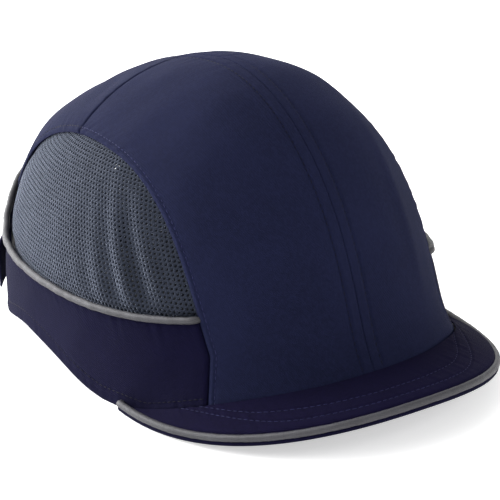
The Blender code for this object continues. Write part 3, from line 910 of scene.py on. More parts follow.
def piping_finish(name, dye):
    """Grey glass-bead tape over a cord: a fine grain, with creases across it that are painted
    darker as shade.
    """
    finish = Finish(name)
    along, across = finish.uv()
    beads = finish.noise(5200.0, 2.0, 0.6)
    streaks = finish.add(
        "ShaderNodeTexNoise", {"noise_dimensions": "1D"}, {"W": along * 900.0, "Detail": 3.0}
    )
    patches = finish.noise(45.0, 3.0, 0.6)
    tone = finish.blend(patches.between(0.3, 0.7), shade(dye, 0.80), shade(dye, 1.15))
    # Painted shade: the colour is darker in the creases.
    crease_shaded = finish.blend(streaks.between(0.30, 0.52), shade(dye, 0.62), tone)
    speck = finish.blend(beads.between(0.60, 0.75) * 0.5, crease_shaded, shade(dye, 1.9))
    fine = finish.relief(beads, 0.00008, 0.5)
    normal = finish.relief(streaks, 0.00035, 0.6, fine)
    rough = 0.34 + beads * 0.3
    metal = beads.between(0.45, 0.60) * 0.35
    return finish.done(
        {"Base Color": speck, "Roughness": rough, "Normal": normal, "Metallic": metal},
        Specular_IOR_Level=0.4,
    )


def thread_finish(name, dye):
    """Twisted sewing thread with a soft shine, painted darker between its strands as shade."""
    finish = Finish(name)
    twist = finish.noise(3400.0, 2.0, 0.6)
    patches = finish.noise(160.0, 2.0, 0.5)
    tone = finish.blend(patches.between(0.35, 0.65), shade(dye, 0.75), shade(dye, 1.2))
    # Painted shade between the twisted strands: darker where the twist lies low.
    strand_shaded = finish.blend(twist.between(0.35, 0.7), shade(dye, 0.55), tone)
    normal = finish.relief(twist, 0.0001, 0.6)
    rough = 0.42 + twist * 0.25
    return finish.done(
        {"Base Color": strand_shaded, "Roughness": rough, "Normal": normal}, Specular_IOR_Level=0.15
    )


def pile_finish(name, dye, scale, depth, sheen, shine=0.3):
    """Towelling, loop pile or felt: a deep irregular nap, painted darker where it lies low as
    shade.
    """
    finish = Finish(name)
    nap = finish.noise(scale, 4.0, 0.75)
    tufts = finish.add(
        "ShaderNodeTexVoronoi", {}, {"Vector": finish.place(), "Scale": scale * 0.8}
    )
    patches = finish.noise(40.0, 3.0, 0.5)
    height = nap * 0.7 + (1 - tufts) * 0.5
    tone = finish.blend(patches.between(0.3, 0.7), shade(dye, 0.8), shade(dye, 1.25))
    # Painted shade: darker where the nap lies low between the tufts.
    wear_and_shade = finish.blend(height.between(0.35, 0.85), shade(dye, 0.45), tone)
    normal = finish.relief(height, depth, 0.8)
    rough = 0.80 + nap * 0.18
    return finish.done(
        {"Base Color": wear_and_shade, "Roughness": rough, "Normal": normal},
        Sheen_Weight=sheen, Sheen_Roughness=0.6, Specular_IOR_Level=shine,
    )


def moulded_finish(name, dye, grain, roughness):
    """Moulded plastic: fine spark-eroded grain, faint flow marks and rubbed high spots."""
    finish = Finish(name)
    spots = finish.noise(grain, 3.0, 0.6)
    flow = finish.noise(18.0, 5.0, 0.65)
    scuffs = finish.noise(260.0, 5.0, 0.8)
    tone = finish.blend(flow.between(0.3, 0.7), shade(dye, 0.85), shade(dye, 1.25))
    rubbed = finish.blend(scuffs.between(0.60, 0.78) * 0.4, tone, shade(dye, 2.3))
    normal = finish.relief(spots, 0.00010, 0.5)
    rough = roughness + spots * 0.12 + scuffs.between(0.55, 0.75) * 0.12
    return finish.done({"Base Color": rubbed, "Roughness": rough, "Normal": normal})


def foam_finish(name, dye):
    """Closed-cell foam: small round cells under a slightly shiny skin, with painted shade in the
    pits of the cells.
    """
    finish = Finish(name)
    cells = finish.add(
        "ShaderNodeTexVoronoi", {}, {"Vector": finish.place(), "Scale": 900.0}
    )
    blotches = finish.noise(35.0, 4.0, 0.6)
    pores = cells.between(0.10, 0.55)
    tone = finish.blend(blotches.between(0.3, 0.7), shade(dye, 0.8), shade(dye, 1.3))
    # Painted shade: darker in the pits of the cells.
    pits_painted_shade = finish.blend(pores, shade(dye, 0.5), tone)
    normal = finish.relief(cells, 0.00022, 0.6)
    rough = 0.72 + pores * 0.2
    return finish.done(
        {"Base Color": pits_painted_shade, "Roughness": rough, "Normal": normal}, Specular_IOR_Level=0.35
    )


def finish_named(name, maker, *values):
    """The material of this name, made the first time it is asked for."""
    return bpy.data.materials.get(name) or maker(name, *values)


def panel_twill():
    cloth = bpy.context.scene.cap_cloth
    return finish_named("panel_twill", twill_finish, tuple(cloth.panel_colour), cloth.twill)


def band_twill():
    cloth = bpy.context.scene.cap_cloth
    return finish_named("band_twill", twill_finish, tuple(cloth.band_colour), cloth.twill, 0.036)


def brim_twill():
    cloth = bpy.context.scene.cap_cloth
    return finish_named("brim_twill", twill_finish, tuple(cloth.brim_colour), cloth.twill, 0.01)


def tape_twill():
    cloth = bpy.context.scene.cap_cloth
    return finish_named(
        "tape_twill", twill_finish, tuple(cloth.band_colour), cloth.twill * 0.8, 0.02, 0.0
    )


def grey_piping():
    return finish_named(
        "grey_piping", piping_finish, tuple(bpy.context.scene.cap_trim.piping_colour)
    )


def sewing_thread():
    return finish_named(
        "sewing_thread", thread_finish, tuple(bpy.context.scene.cap_trim.thread_colour)
    )


def dark_thread():
    # Near-black thread: a dark thread, darkened further as painted shade of the stitch valleys.
    dye = shade(bpy.context.scene.cap_trim.thread_colour, 0.04)
    return finish_named("dark_thread", thread_finish, dye)


# ---------------------------------------------------------------- geometry node trees


class Tree:
    """A geometry node tree, made of nodes that are added one at a time."""

    def __init__(self, name, sizes):
        self.tree = bpy.data.node_groups.new(name, "GeometryNodeTree")
        face = self.tree.interface
        face.new_socket("Geometry", in_out="INPUT", socket_type="NodeSocketGeometry")
        for key, (kind, value) in sizes.items():
            face.new_socket(key, in_out="INPUT", socket_type=kind).default_value = value
        face.new_socket("Material", in_out="INPUT", socket_type="NodeSocketMaterial")
        face.new_socket("Geometry", in_out="OUTPUT", socket_type="NodeSocketGeometry")
        self.start = self.tree.nodes.new("NodeGroupInput")

    def add(self, kind, settings=None, sockets=None):
        node = self.tree.nodes.new(kind)
        for key, value in (settings or {}).items():
            setattr(node, key, value)
        for key, value in (sockets or {}).items():
            if isinstance(value, bpy.types.NodeSocket):
                self.tree.links.new(value, node.inputs[key])
            else:
                node.inputs[key].default_value = value
        return node

    def input(self, name):
        return self.start.outputs[name]

    def times(self, first, second):
        node = self.add("ShaderNodeMath", {"operation": "MULTIPLY"}, {0: first, 1: second})
        return node.outputs[0]

    def chance(self, low, high):
        """A random number for each point, or a random vector where the limits are vectors."""
        kind, first, out = ("FLOAT_VECTOR", 0, 0) if isinstance(low, tuple) else ("FLOAT", 2, 1)
        sockets = {first: low, first + 1: high, "Seed": self.input("Seed")}
        return self.add("FunctionNodeRandomValue", {"data_type": kind}, sockets).outputs[out]

    def lay(self, points, shape, facing, size):
        """Stands a shape on each point, turned by facing and with this size along X, Y and Z."""
        scale = self.add("ShaderNodeCombineXYZ", {}, dict(enumerate(size)))
        sockets = {0: points, "Instance": shape, "Rotation": facing, "Scale": scale.outputs[0]}
        return self.finish(self.add("GeometryNodeInstanceOnPoints", {}, sockets).outputs[0])

    def finish(self, geometry):
        """Ends the tree in Realize Instances and Set Material."""
        real = self.add("GeometryNodeRealizeInstances", {}, {0: geometry})
        smooth_faces = self.add("GeometryNodeSetShadeSmooth", {}, {0: real.outputs[0]})
        named = self.add(
            "GeometryNodeSetMaterial",
            {},
            {0: smooth_faces.outputs[0], "Material": self.input("Material")},
        )
        end = self.tree.nodes.new("NodeGroupOutput")
        self.tree.links.new(named.outputs[0], end.inputs[0])
        return self.tree


def run_tree(thing, tree, **values):
    """Gives the piece this tree with these inputs, and makes the result its mesh."""
    modifier = thing.modifiers.new(tree.name, "NODES")
    modifier.node_group = tree
    for item in tree.interface.items_tree:
        key = item.name.lower().replace(" ", "_")
        if item.in_out == "INPUT" and key in values:
            modifier[item.identifier] = values[key]
    return settle(thing)


def stitch_tree():
    """Lays short plump stitches end to end along each edge line."""
    found = bpy.data.node_groups.get("stitch_rows")
    if found:
        return found
    tree = Tree(
        "stitch_rows",
        {
            "Pitch": ("NodeSocketFloat", 0.0027),
            "Width": ("NodeSocketFloat", 0.00036),
            "Filled": ("NodeSocketFloat", 0.80),
            "Seed": ("NodeSocketInt", 7),
        },
    )
    lines = tree.add("GeometryNodeMeshToCurve", {}, {0: tree.input("Geometry")})
    points = tree.add(
        "GeometryNodeCurveToPoints",
        {"mode": "LENGTH"},
        {0: lines.outputs[0], "Length": tree.input("Pitch")},
    )
    facing = tree.add(
        "FunctionNodeAlignRotationToVector", {"axis": "X"}, {"Vector": points.outputs["Tangent"]}
    )
    stitch = tree.add(
        "GeometryNodeMeshUVSphere", {}, {"Segments": 6, "Rings": 5, "Radius": 0.5}
    )
    long = tree.times(tree.input("Pitch"), tree.input("Filled"))
    varied = tree.times(long, tree.chance(0.86, 1.06))
    width = tree.input("Width")
    return tree.lay(
        points.outputs[0], stitch.outputs[0], facing.outputs[0], (varied, width, width)
    )


def hole_tree():
    """Turns a triangle lattice into hexagon cells and opens a hole in each."""
    found = bpy.data.node_groups.get("open_holes")
    if found:
        return found
    tree = Tree("open_holes", {"Hole": ("NodeSocketFloat", 0.42)})
    cells = tree.add("GeometryNodeDualMesh", {}, {0: tree.input("Geometry")})
    raised = tree.add(
        "GeometryNodeExtrudeMesh",
        {"mode": "FACES"},
        {0: cells.outputs[0], "Offset Scale": 0.0, "Individual": True},
    )
    shrunk = tree.add(
        "GeometryNodeScaleElements",
        {"domain": "FACE"},
        {0: raised.outputs[0], "Selection": raised.outputs["Top"], "Scale": tree.input("Hole")},
    )
    opened = tree.add(
        "GeometryNodeDeleteGeometry",
        {"domain": "FACE"},
        {0: shrunk.outputs[0], "Selection": raised.outputs["Top"]},
    )
    return tree.finish(opened.outputs[0])


def sew(name, lines, body, slot, spacing=1.0, thread=None):
    """One piece that holds these rows of stitches."""
    trim = bpy.context.scene.cap_trim
    verts, edges = [], []
    for line in lines:
        line = resampled(line, 0.0009)
        start = len(verts)
        verts += line.tolist()
        edges += [(start + i, start + i + 1) for i in range(len(line) - 1)]
    mesh = bpy.data.meshes.new(name)
    mesh.from_pydata(verts, edges, [])
    thread = thread or sewing_thread()
    piece = new_piece(name, mesh, thread)
    run_tree(
        piece, stitch_tree(), pitch=trim.stitch * spacing, width=trim.thread, filled=0.8,
        material=thread,
    )
    return join_up(piece, body, slot)


# ---------------------------------------------------------------- crown panels


def front_area():
    cross = meets_cross_seam()
    centre_top = over(0.0, CROSS_SEAM_Y)
    half_cross = seam_x(CROSS_SEAM_Y)

    def hem(share):
        angle = SEAM_FOOT * np.asarray(share)
        return on_disc(angle, hem_height(angle))

    def centre(share):
        return mix(hem(0.0), centre_top, np.asarray(share)[..., None])

    def cross_seam(share):
        return over(half_cross * np.asarray(share), CROSS_SEAM_Y)

    outer = joined(down_to_hem, part_of(side_seam, 0.0, cross), 0.1)
    return patch(evenly(hem), evenly(cross_seam), evenly(centre), evenly(outer))


def front_cloth(side):
    """A front panel: flat seam strip beside the centre, rolled and gathered at the side seam."""
    cloth = bpy.context.scene.cap_cloth
    seed = 3 if side > 0 else 5

    def relief(base, centre, outer, hem, cross):
        strip = 0.00030 * (1 - smooth((centre - CENTRE_ROW) / 0.0006))
        lift = strip + seam_roll(centre, 0.00025, 0.0004) + seam_roll(outer, 0.0008, 0.0009)
        lift = lift + seam_roll(cross, 0.0011, 0.0007)
        lift = lift + stitch_valley(centre, CENTRE_ROW, 0.00075, 0.0006)
        lift = lift + stitch_valley(outer, SEAM_ROW)
        lift = lift + 0.00018 * bump(outer, 0.0016, 0.0009)
        lift = lift + puckers(hem, outer, seed, cloth.pucker)
        lift = lift + puckers(hem, np.abs(centre - CENTRE_ROW), seed + 1, cloth.pucker * 0.7)
        loose = smooth(outer / 0.015) * smooth(centre / 0.02) * smooth(cross / 0.015)
        lift = lift + ripples(base, seed, cloth.ripple) * loose
        if side > 0:
            across, height = base[..., 0] - LONG_FOLD_X, base[..., 2] - LONG_FOLD_HEIGHT
            fold = np.exp(-((np.hypot(across, height * 0.12) / LONG_FOLD_WIDTH) ** 2))
            lift = lift + LONG_FOLD_RISE * fold * smooth(outer / 0.01)
        return lift

    return Cloth(front_area(), (64, 150), relief, side)


def rear_cloth():
    cloth = bpy.context.scene.cap_cloth
    cross = meets_cross_seam()
    low = meets_piping_rear()
    half_cross = seam_x(CROSS_SEAM_Y)
    corner = float(disc_angle(side_seam(low)))
    right = part_of(side_seam, low, cross)

    def over_piping(share):
        angle = mix(-corner, -math.tau + corner, np.asarray(share))
        return on_disc(angle, piping_height(angle))

    def cross_seam(share):
        return over(mix(-half_cross, half_cross, np.asarray(share)), CROSS_SEAM_Y)

    area = patch(evenly(over_piping), evenly(cross_seam), evenly(flipped(right)), evenly(right))

    def relief(base, left, right, low, cross):
        lift = seam_roll(left, 0.0008) + seam_roll(right, 0.0008) + seam_roll(cross, 0.0011, 0.0007)
        lift = lift + stitch_valley(left, SEAM_ROW) + stitch_valley(right, SEAM_ROW)
        lift = lift + puckers(low, left, 11, cloth.pucker) + puckers(low, right, 12, cloth.pucker)
        lift = lift + puckers(left, cross, 13, cloth.pucker * 0.8)
        loose = smooth(left / 0.015) * smooth(right / 0.015) * smooth(cross / 0.015)
        return lift + ripples(base, 9, cloth.ripple * 1.4) * loose

    return Cloth(area, (90, 90), relief)


def band_area():
    """The solid cloth under the piping, from the front seam to the middle of the rear."""
    split_angle = math.radians(148)
    top_share = meets_piping_front()
    first = float(disc_angle(side_seam(top_share)))

    def under_piping(start, end):
        def curve(share):
            angle = mix(start, end, np.asarray(share))
            return on_disc(angle, piping_height(angle))

        return evenly(curve)

    def hem(share):
        end = math.pi - math.asin(OPENING_WIDTH / 2 / REAR_REACH)
        angle = mix(SEAM_FOOT, end, np.asarray(share))
        return on_disc(angle, hem_height(angle))

    split = 20 / 28
    bottom = joined(evenly(hem), evenly(opening_edge), split)
    top = joined(under_piping(first, split_angle), under_piping(split_angle, math.pi), split)
    front = evenly(joined(down_to_hem, part_of(side_seam, 0.0, top_share), 0.3))
    rear = evenly(
        lambda share: mix(opening_edge(1.0), top(1.0), np.asarray(share, float)[..., None])
    )
    return patch(bottom, top, front, rear)


def opening_edge(share, margin=0.0):
    """Disc point on the rear opening's edge, from its foot at 0 to its top at 1."""
    turn = np.asarray(share, float) * math.pi / 2
    half = math.asin((OPENING_WIDTH / 2 + margin) / REAR_REACH)
    return on_disc(math.pi - half * np.cos(turn), (OPENING_TOP + margin) * np.sin(turn))


def band_cloth(side):
    cloth = bpy.context.scene.cap_cloth
    seed = 21 if side > 0 else 27

    def relief(base, front, rear, hem, piping):
        lift = seam_roll(front, 0.0007) + seam_roll(piping, 0.0009, 0.0012)
        lift = lift + 0.00015 * bump(hem, 0.0012, 0.0010) + stitch_valley(hem, HEM_ROW)
        lift = lift + puckers(front, hem, seed, cloth.pucker * 0.9)
        lift = lift + puckers(front, piping, seed + 1, cloth.pucker)
        loose = smooth(hem / 0.010) * smooth(piping / 0.010) * smooth(front / 0.015)
        return lift + ripples(base, seed, cloth.ripple) * loose

    return Cloth(band_area(), (230, 36), relief, side, crowding=0.4)


def mesh_lattice(side):
    """A triangle lattice over the mesh panel: one point for each hole, in staggered rows."""
    mesh = bpy.context.scene.cap_mesh
    pitch = mesh.pitch
    quarter = math.pi / 2
    heights = np.linspace(0.034, WALL_HEIGHT + CROWN_RISE * 0.995, 2000)
    climb = run_along(crown(np.full_like(heights, quarter), reach_at(quarter, heights)))
    rows = np.interp(np.arange(0.0, climb[-1], pitch * math.sqrt(3) / 2), climb, heights)
    angles = np.linspace(math.radians(15), math.radians(175), 3000)
    most = 90
    disc = np.zeros((2 * most + 1, len(rows), 2))
    for k, height in enumerate(rows):
        line = crown(angles, reach_at(angles, height))
        run = run_along(line)
        middle = np.interp(quarter, angles, run)
        places = middle + (np.arange(-most, most + 1) + 0.5 * (k % 2)) * pitch
        disc[:, k] = on_disc(np.interp(places, run, angles), height)
    angle = disc_angle(disc)
    x, y = plan_point(disc)
    above = plain_height(disc) - piping_height(angle)
    beyond = x - seam_x(y)
    slope = np.hypot(1.0, np.gradient(plain_height(disc), axis=1) / (pitch * 0.87)) / 1.2
    keep = (above > -0.0045) & (beyond * slope > -0.0040)
    keep &= (angle > math.radians(20)) & (angle < math.radians(172))

    last = float(disc_angle(side_seam(meets_piping_rear())))
    rearward = smooth((angle - quarter) / (last - quarter))
    inset = 0.0009 + 0.0016 * rearward * np.exp(-np.maximum(above, 0.0) / 0.015)
    inset = inset + 0.0011 * (1 - smooth(beyond / 0.004)) + 0.0012 * (1 - smooth(above / 0.0030))
    points = from_disc(disc) - outward(disc) * inset[..., None]
    folds = np.sin(angle * 32.0 - above * 190) * bump(angle, math.radians(60), math.radians(17))
    loose = smooth(beyond / 0.014) * smooth(above / 0.010)
    waves = 0.0013 * folds + ripples(points, 31 if side > 0 else 33, 0.00035)
    points = points + outward(disc) * (waves * loose)[..., None]
    return points * np.array([side, 1.0, 1.0]), keep


def mesh_piece(side):
    mesh = bpy.context.scene.cap_mesh
    name = f"mesh_cloth_{hand(side)}"
    points, keep = mesh_lattice(side)
    columns, rows = keep.shape
    index = np.arange(columns * rows).reshape(columns, rows)
    here, right = index[:-1, :-1], index[1:, :-1]
    up, up_right = index[:-1, 1:], index[1:, 1:]
    even = (np.arange(rows - 1) % 2 == 0)[None, :]
    first = np.where(even[..., None], np.stack([here, right, up], -1),
                     np.stack([here, right, up_right], -1))
    second = np.where(even[..., None], np.stack([right, up_right, up], -1),
                      np.stack([here, up_right, up], -1))
    faces = np.concatenate([first.reshape(-1, 3), second.reshape(-1, 3)])
    faces = faces[keep.reshape(-1)[faces].all(1)]
    if side < 0:
        faces = faces[:, ::-1]
    flat = points.reshape(-1, 3)
    corners = flat[faces]
    normals = np.cross(corners[:, 1] - corners[:, 0], corners[:, 2] - corners[:, 0])
    away = corners.mean(1) - np.array([0.0, LENGTH_SHIFT, 0.0])
    if (normals * away).sum() < 0:
        faces = faces[:, ::-1]
    used, faces = np.unique(faces, return_inverse=True)
    data = bpy.data.meshes.new(name)
    data.from_pydata(flat[used].tolist(), [], faces.reshape(-1, 3).tolist())
    finish = finish_named("knitted_mesh", mesh_finish, tuple(mesh.mesh_colour))
    piece = new_piece(name, data, finish)
    run_tree(piece, hole_tree(), hole=mesh.hole, material=finish)
    thicken(piece, 0.0006)
    lay_uv(piece)
    return join_up(piece, "cap", "mesh", f"mesh_panel_{hand(side)}")


def lay_uv(piece):
    """A UV map in metres read from the side: length along the cap, and height."""
    data = piece.data
    co = np.empty(len(data.vertices) * 3, np.float32)
    data.vertices.foreach_get("co", co)
    map_points(data, co.reshape(-1, 3)[:, 1:3])


def cloth_piece(name, cloth, finish, slot, *nodes, thickness=None):
    mesh = grid_mesh(name, cloth.points, cloth.uv)
    piece = new_piece(name, mesh, finish)
    thicken(piece, thickness or bpy.context.scene.cap_cloth.thickness)
    return join_up(piece, "cap", slot, *nodes)


def seam_tape(side):
    """The tape sewn behind the seam between a front panel and a side band."""
    seam = joined(down_to_hem, part_of(side_seam, 0.0, meets_piping_front()), 0.3)
    disc = evenly(seam)(np.linspace(0.0, 1.0, 90))
    out = outward(disc)
    line = from_disc(disc) - out * 0.0013
    across = unit(np.cross(out, unit(np.gradient(line, axis=0))))
    width = np.linspace(-0.0032, 0.0032, 9)
    points = (line[:, None] + across[:, None] * width[:, None]) * np.array([side, 1.0, 1.0])
    uv = np.stack(np.broadcast_arrays(run_along(line)[:, None], width), -1)
    name = f"seam_tape_{hand(side)}"
    piece = thicken(new_piece(name, grid_mesh(name, points, uv), tape_twill()), 0.0004)
    return join_up(piece, "cap", "band")


class BUILD_OT_cap_front(bpy.types.Operator):
    """Makes the two front panels with their seams and top-stitching"""

    bl_idname = "bump_cap.front"
    bl_label = "Front panels"

    def execute(self, context):
        centre_rows, side_rows = [], []
        for side in (1, -1):
            cloth = front_cloth(side)
            names = f"front_cloth_{hand(side)}", f"front_panel_{hand(side)}"
            cloth_piece(names[0], cloth, panel_twill(), "cloth", names[1])
            centre_rows.append(cloth.row(0, CENTRE_ROW, 0.03, 0.99, 0.0))
            side_rows.append(cloth.row(1, SEAM_ROW, 0.02, 0.99))
        sew("front_thread", side_rows, "cap", "cloth")
        sew("centre_thread", centre_rows, "cap", "cloth", thread=dark_thread())
        return {"FINISHED"}


class BUILD_OT_cap_rear(bpy.types.Operator):
    """Makes the rear panel"""

    bl_idname = "bump_cap.rear"
    bl_label = "Rear panel"

    def execute(self, context):
        cloth = rear_cloth()
        cloth_piece("rear_cloth", cloth, panel_twill(), "cloth", "rear_panel")
        rows = [cloth.row(0, SEAM_ROW, 0.02, 0.99), cloth.row(1, SEAM_ROW, 0.02, 0.99)]
        sew("rear_thread", rows, "cap", "cloth", thread=dark_thread())
        return {"FINISHED"}


class BUILD_OT_cap_mesh(bpy.types.Operator):
    """Makes the perforated side panels"""

    bl_idname = "bump_cap.mesh"
    bl_label = "Mesh panels"

    def execute(self, context):
        mesh_piece(1)
        mesh_piece(-1)
        return {"FINISHED"}


class BUILD_OT_cap_bands(bpy.types.Operator):
    """Makes the solid side bands with their hem stitching"""

    bl_idname = "bump_cap.bands"
    bl_label = "Side bands"

    def execute(self, context):
        rows = []
        for side in (1, -1):
            cloth = band_cloth(side)
            names = f"band_cloth_{hand(side)}", f"side_band_{hand(side)}"
            cloth_piece(names[0], cloth, band_twill(), "band", names[1])
            rows.append(cloth.row(2, HEM_ROW, 0.01, 0.995))
            seam_tape(side)
        sew("band_thread", rows, "cap", "band", thread=dark_thread())
        return {"FINISHED"}


# ---------------------------------------------------------------- trims


def piping_line():
    """Centre of the side piping. Both ends dive under the front panels' edges."""
    first = float(disc_angle(side_seam(meets_piping_front())))
    ends = 0.0012 / HALF_WIDTH
    angles = np.linspace(first - ends, math.tau - first + ends, 900)
    disc = on_disc(angles, piping_height(angles))
    into = np.minimum(angles - angles[0], angles[-1] - angles) * HALF_WIDTH
    stand = mix(-0.0012, 0.0007, smooth(into / 0.0042))
    chance = np.random.default_rng(41)
    wander = sum(
        0.00010 * np.sin(angles * rate + chance.uniform(0, 6.3)) for rate in (23.0, 41.0, 67.0)
    )
    line = from_disc(disc) + outward(disc) * (stand + wander * smooth(into / 0.01))[..., None]
    return line


def uneven_radius(line, radius, seed):
    """A cord's radius, a little uneven where its cover is gathered."""
    run = run_along(line)
    chance = np.random.default_rng(seed)
    waves = sum(np.sin(run * math.tau / pitch + chance.uniform(0, 6.3)) for pitch in
                (0.0031, 0.0052, 0.0093, 0.021))
    return radius * (1 + 0.016 * waves)


class BUILD_OT_cap_piping(bpy.types.Operator):
    """Makes the reflective piping round the sides and rear"""

    bl_idname = "bump_cap.piping"
    bl_label = "Side piping"

    def execute(self, context):
        radius = context.scene.cap_trim.piping_radius
        line = resampled(piping_line(), 0.0011)
        mesh = tube_mesh("piping_cord", line, uneven_radius(line, radius, 43), 14)
        piece = new_piece("piping_cord", mesh, grey_piping())
        join_up(piece, "cap", "reflective", "side_piping")
        return {"FINISHED"}


class BUILD_OT_cap_tapes(bpy.types.Operator):
    """Makes the binding round the rear opening and the tape behind the centre seam"""

    bl_idname = "bump_cap.tapes"
    bl_label = "Tapes and bindings"

    def execute(self, context):
        share = np.linspace(0.02, 1.0, 120)
        right = opening_edge(share, -0.0002)
        arch = np.concatenate([right, (right * np.array([-1.0, 1.0]))[::-1][1:]])
        line = resampled(from_disc(arch) - outward(arch) * 0.0008, 0.0012)
        mesh = tube_mesh("opening_tape", line, 0.0013, 12, squash=1.5)
        piece = new_piece("opening_tape", mesh, tape_twill())
        join_up(piece, "cap", "band", "opening_binding")

        y = np.linspace(-FRONT_REACH + 0.002, CROSS_SEAM_Y - 0.005, 120)
        x = np.linspace(-0.0048, 0.0048, 13)
        disc = over(*np.meshgrid(x, y, indexing="ij"))
        hollow = 0.0002 * np.cos(x / 0.0048 * math.pi * 3)[:, None, None]
        points = from_disc(disc) - outward(disc) * (0.0015 + hollow)
        uv = np.stack(np.meshgrid(x, y, indexing="ij"), -1)
        tape = new_piece("centre_tape", grid_mesh("centre_tape", points, uv), tape_twill())
        thicken(tape, 0.0005)
        join_up(tape, "cap", "band", "centre_seam_tape")
        return {"FINISHED"}


# ---------------------------------------------------------------- brim


def brim_edge(turn):
    """Centre of the brim's piping: 0 at the front, a quarter turn at the brim's ends."""
    across = np.abs(np.sin(turn)) ** (2 / BRIM_POWER) * np.sign(turn)
    along = np.abs(np.cos(turn)) ** (2 / BRIM_POWER)
    x = BRIM_HALF_WIDTH * across
    y = BRIM_ROOT_Y - BRIM_REACH * along
    height = (
        BRIM_FRONT_HEIGHT - BRIM_SIDE_DROP * across**2 + BRIM_RISE * (y - BRIM_ROOT_Y + BRIM_REACH)
    )
    return np.stack([x, y + LENGTH_SHIFT, height], -1)


def brim_root(turn, inset=-0.0002):
    angle = turn / BRIM_OUTER_ANGLE * BRIM_INNER_ANGLE
    reach = reach_at(angle, cloth_edge(angle) - BRIM_STACK / 2)
    return crown(angle, reach, inset)


def outer_row(turn):
    """Distance of the outer stitch row from the brim's edge."""
    degrees = np.degrees(turn)
    left = 0.0100 * smooth((-degrees - 33) / 35)
    right = 0.0115 * smooth((degrees - 19) / 36)
    return 0.0076 + left + right


def inner_row(turn):
    degrees = np.degrees(turn)
    left = 0.0040 * smooth((-degrees - 40) / 20)
    right = 0.0080 * smooth((degrees - 22) / 26)
    return 0.0160 + left + right


BRIM_END = math.radians(86)


class BrimCloth:
    """One cover of the brim, as a grid from the crown out to the piping."""

    def __init__(self, level, margin, columns=260, rows=56, quilted=1.0):
        self.turns = np.linspace(-BRIM_END, BRIM_END, columns + 1)
        self.shares = crowded(rows, 0.6)
        root, edge = brim_root(self.turns), brim_edge(self.turns)
        tangent = unit(np.gradient(edge, axis=0))
        width = np.linalg.norm(np.cross(edge - root, tangent), axis=-1)
        ends = np.maximum(1 - margin / np.maximum(width, 1e-4), 0.05)
        self.width = np.linalg.norm(edge - root, axis=-1)
        share = self.shares[None, :, None] * ends[:, None, None]
        middle = mix(root[:, None], edge[:, None], share)
        from_edge = self.width[:, None] * (1 - share[..., 0])
        across = np.gradient(middle, axis=0)
        outwards = np.gradient(middle, axis=1)
        up = unit(np.cross(outwards, across))
        up = up * np.where(up[..., 2:] > 0, 1.0, -1.0)
        self.up, self.from_edge = up, from_edge
        rows_at = [row(self.turns)[:, None] for row in (outer_row, inner_row)]
        puff = 0.00045 * smooth(from_edge / 0.003) * quilted
        for row in rows_at:
            puff = puff - 0.00050 * bump(from_edge, row, 0.0009) * quilted
        puff = puff - 0.0009 * np.exp(-np.maximum(from_edge - 0.0012, 0) / 0.0012)
        run = run_along(edge)[:, None]
        for seed, row in zip((51, 53), rows_at):
            puff = puff + puckers(run, np.abs(from_edge - row), seed, 0.00008)
        self.points = middle + up * (level + puff * np.sign(level))[..., None]
        self.points[..., 2] = np.maximum(self.points[..., 2], COVER_ABOVE_FLOOR)
        self.run = run

    def row(self, rule, first, last, lift=0.0001):
        line = []
        for k, turn in enumerate(self.turns):
            distance = float(rule(turn))
            if not first <= turn <= last or distance > self.from_edge[k, 0]:
                continue
            order = np.argsort(self.from_edge[k])
            spot = [np.interp(distance, self.from_edge[k][order], self.points[k][order, i])
                    for i in range(3)]
            line.append(np.array(spot) + self.up[k, 0] * lift)
        return np.array(line)


def brim_piping_line():
    """Centre of the brim's piping. Its ends run on along the side bands and turn in under them."""
    line = brim_edge(np.linspace(-math.radians(90), math.radians(90), 700))
    on = np.linspace(0.0, 1.0, 13)[1:, None]
    tail = line[-1] + on * [0.0, 0.0045, -0.0012] + on**2 * [-0.0038, 0.0, -0.0006]
    return np.concatenate([(tail * [-1.0, 1.0, 1.0])[::-1], line, tail])


class BUILD_OT_cap_brim(bpy.types.Operator):
    """Makes the brim's covers, stitching, piping and binding"""

    bl_idname = "bump_cap.brim"
    bl_label = "Brim"

    def execute(self, context):
        radius = context.scene.cap_trim.piping_radius
        rows = []
        for sign, side in ((1, "top"), (-1, "under")):
            name = f"brim_{side}_cloth"
            cover = BrimCloth(sign * BRIM_STACK / 2, radius * 0.55)
            mesh = grid_mesh(name, cover.points, cover.points[..., :2], facing=(0, 0, sign))
            piece = thicken(new_piece(name, mesh, brim_twill()), COVER_CLOTH)
            join_up(piece, "cap", "cloth", f"brim_{side}_cover")
            for rule in (outer_row, inner_row):
                rows.append(cover.row(rule, -BRIM_END, BRIM_END, sign * THREAD_PROUD))
        sew("brim_thread", rows, "cap", "cloth")

        line = resampled(brim_piping_line(), 0.0011)
        mesh = tube_mesh("brim_cord", line, uneven_radius(line, radius, 57), 14)
        join_up(new_piece("brim_cord", mesh, grey_piping()), "cap", "reflective", "brim_piping")

        low = line - np.array([0.0, 0.0, radius + 0.0006])
        low[:, 2] = np.maximum(low[:, 2], TAPE_ABOVE_FLOOR)
        mesh = tube_mesh("brim_tape", low, 0.0010, 10, squash=1.25)
        join_up(new_piece("brim_tape", mesh, tape_twill()), "cap", "band", "brim_binding")

        board = frame["nodes"]["brim_board"]
        dye = slot_colour("board")
        board.data.materials.clear()
        board.data.materials.append(
            finish_named("brim_board_plastic", moulded_finish, dye, 1400.0, 0.45)
        )
        return {"FINISHED"}


# ---------------------------------------------------------------- strap


def strap_stack(layer):
    """How far a layer's outer face stands outside the cloth: base, loop, hook, tongue."""
    return sum(STRAP_THICKNESSES[:layer]) + layer * STRAP_LAYER_GAP


def strap_place(angle, height, out):
    disc = on_disc(angle, height)
    return from_disc(disc) + outward(disc) * np.asarray(out)[..., None]


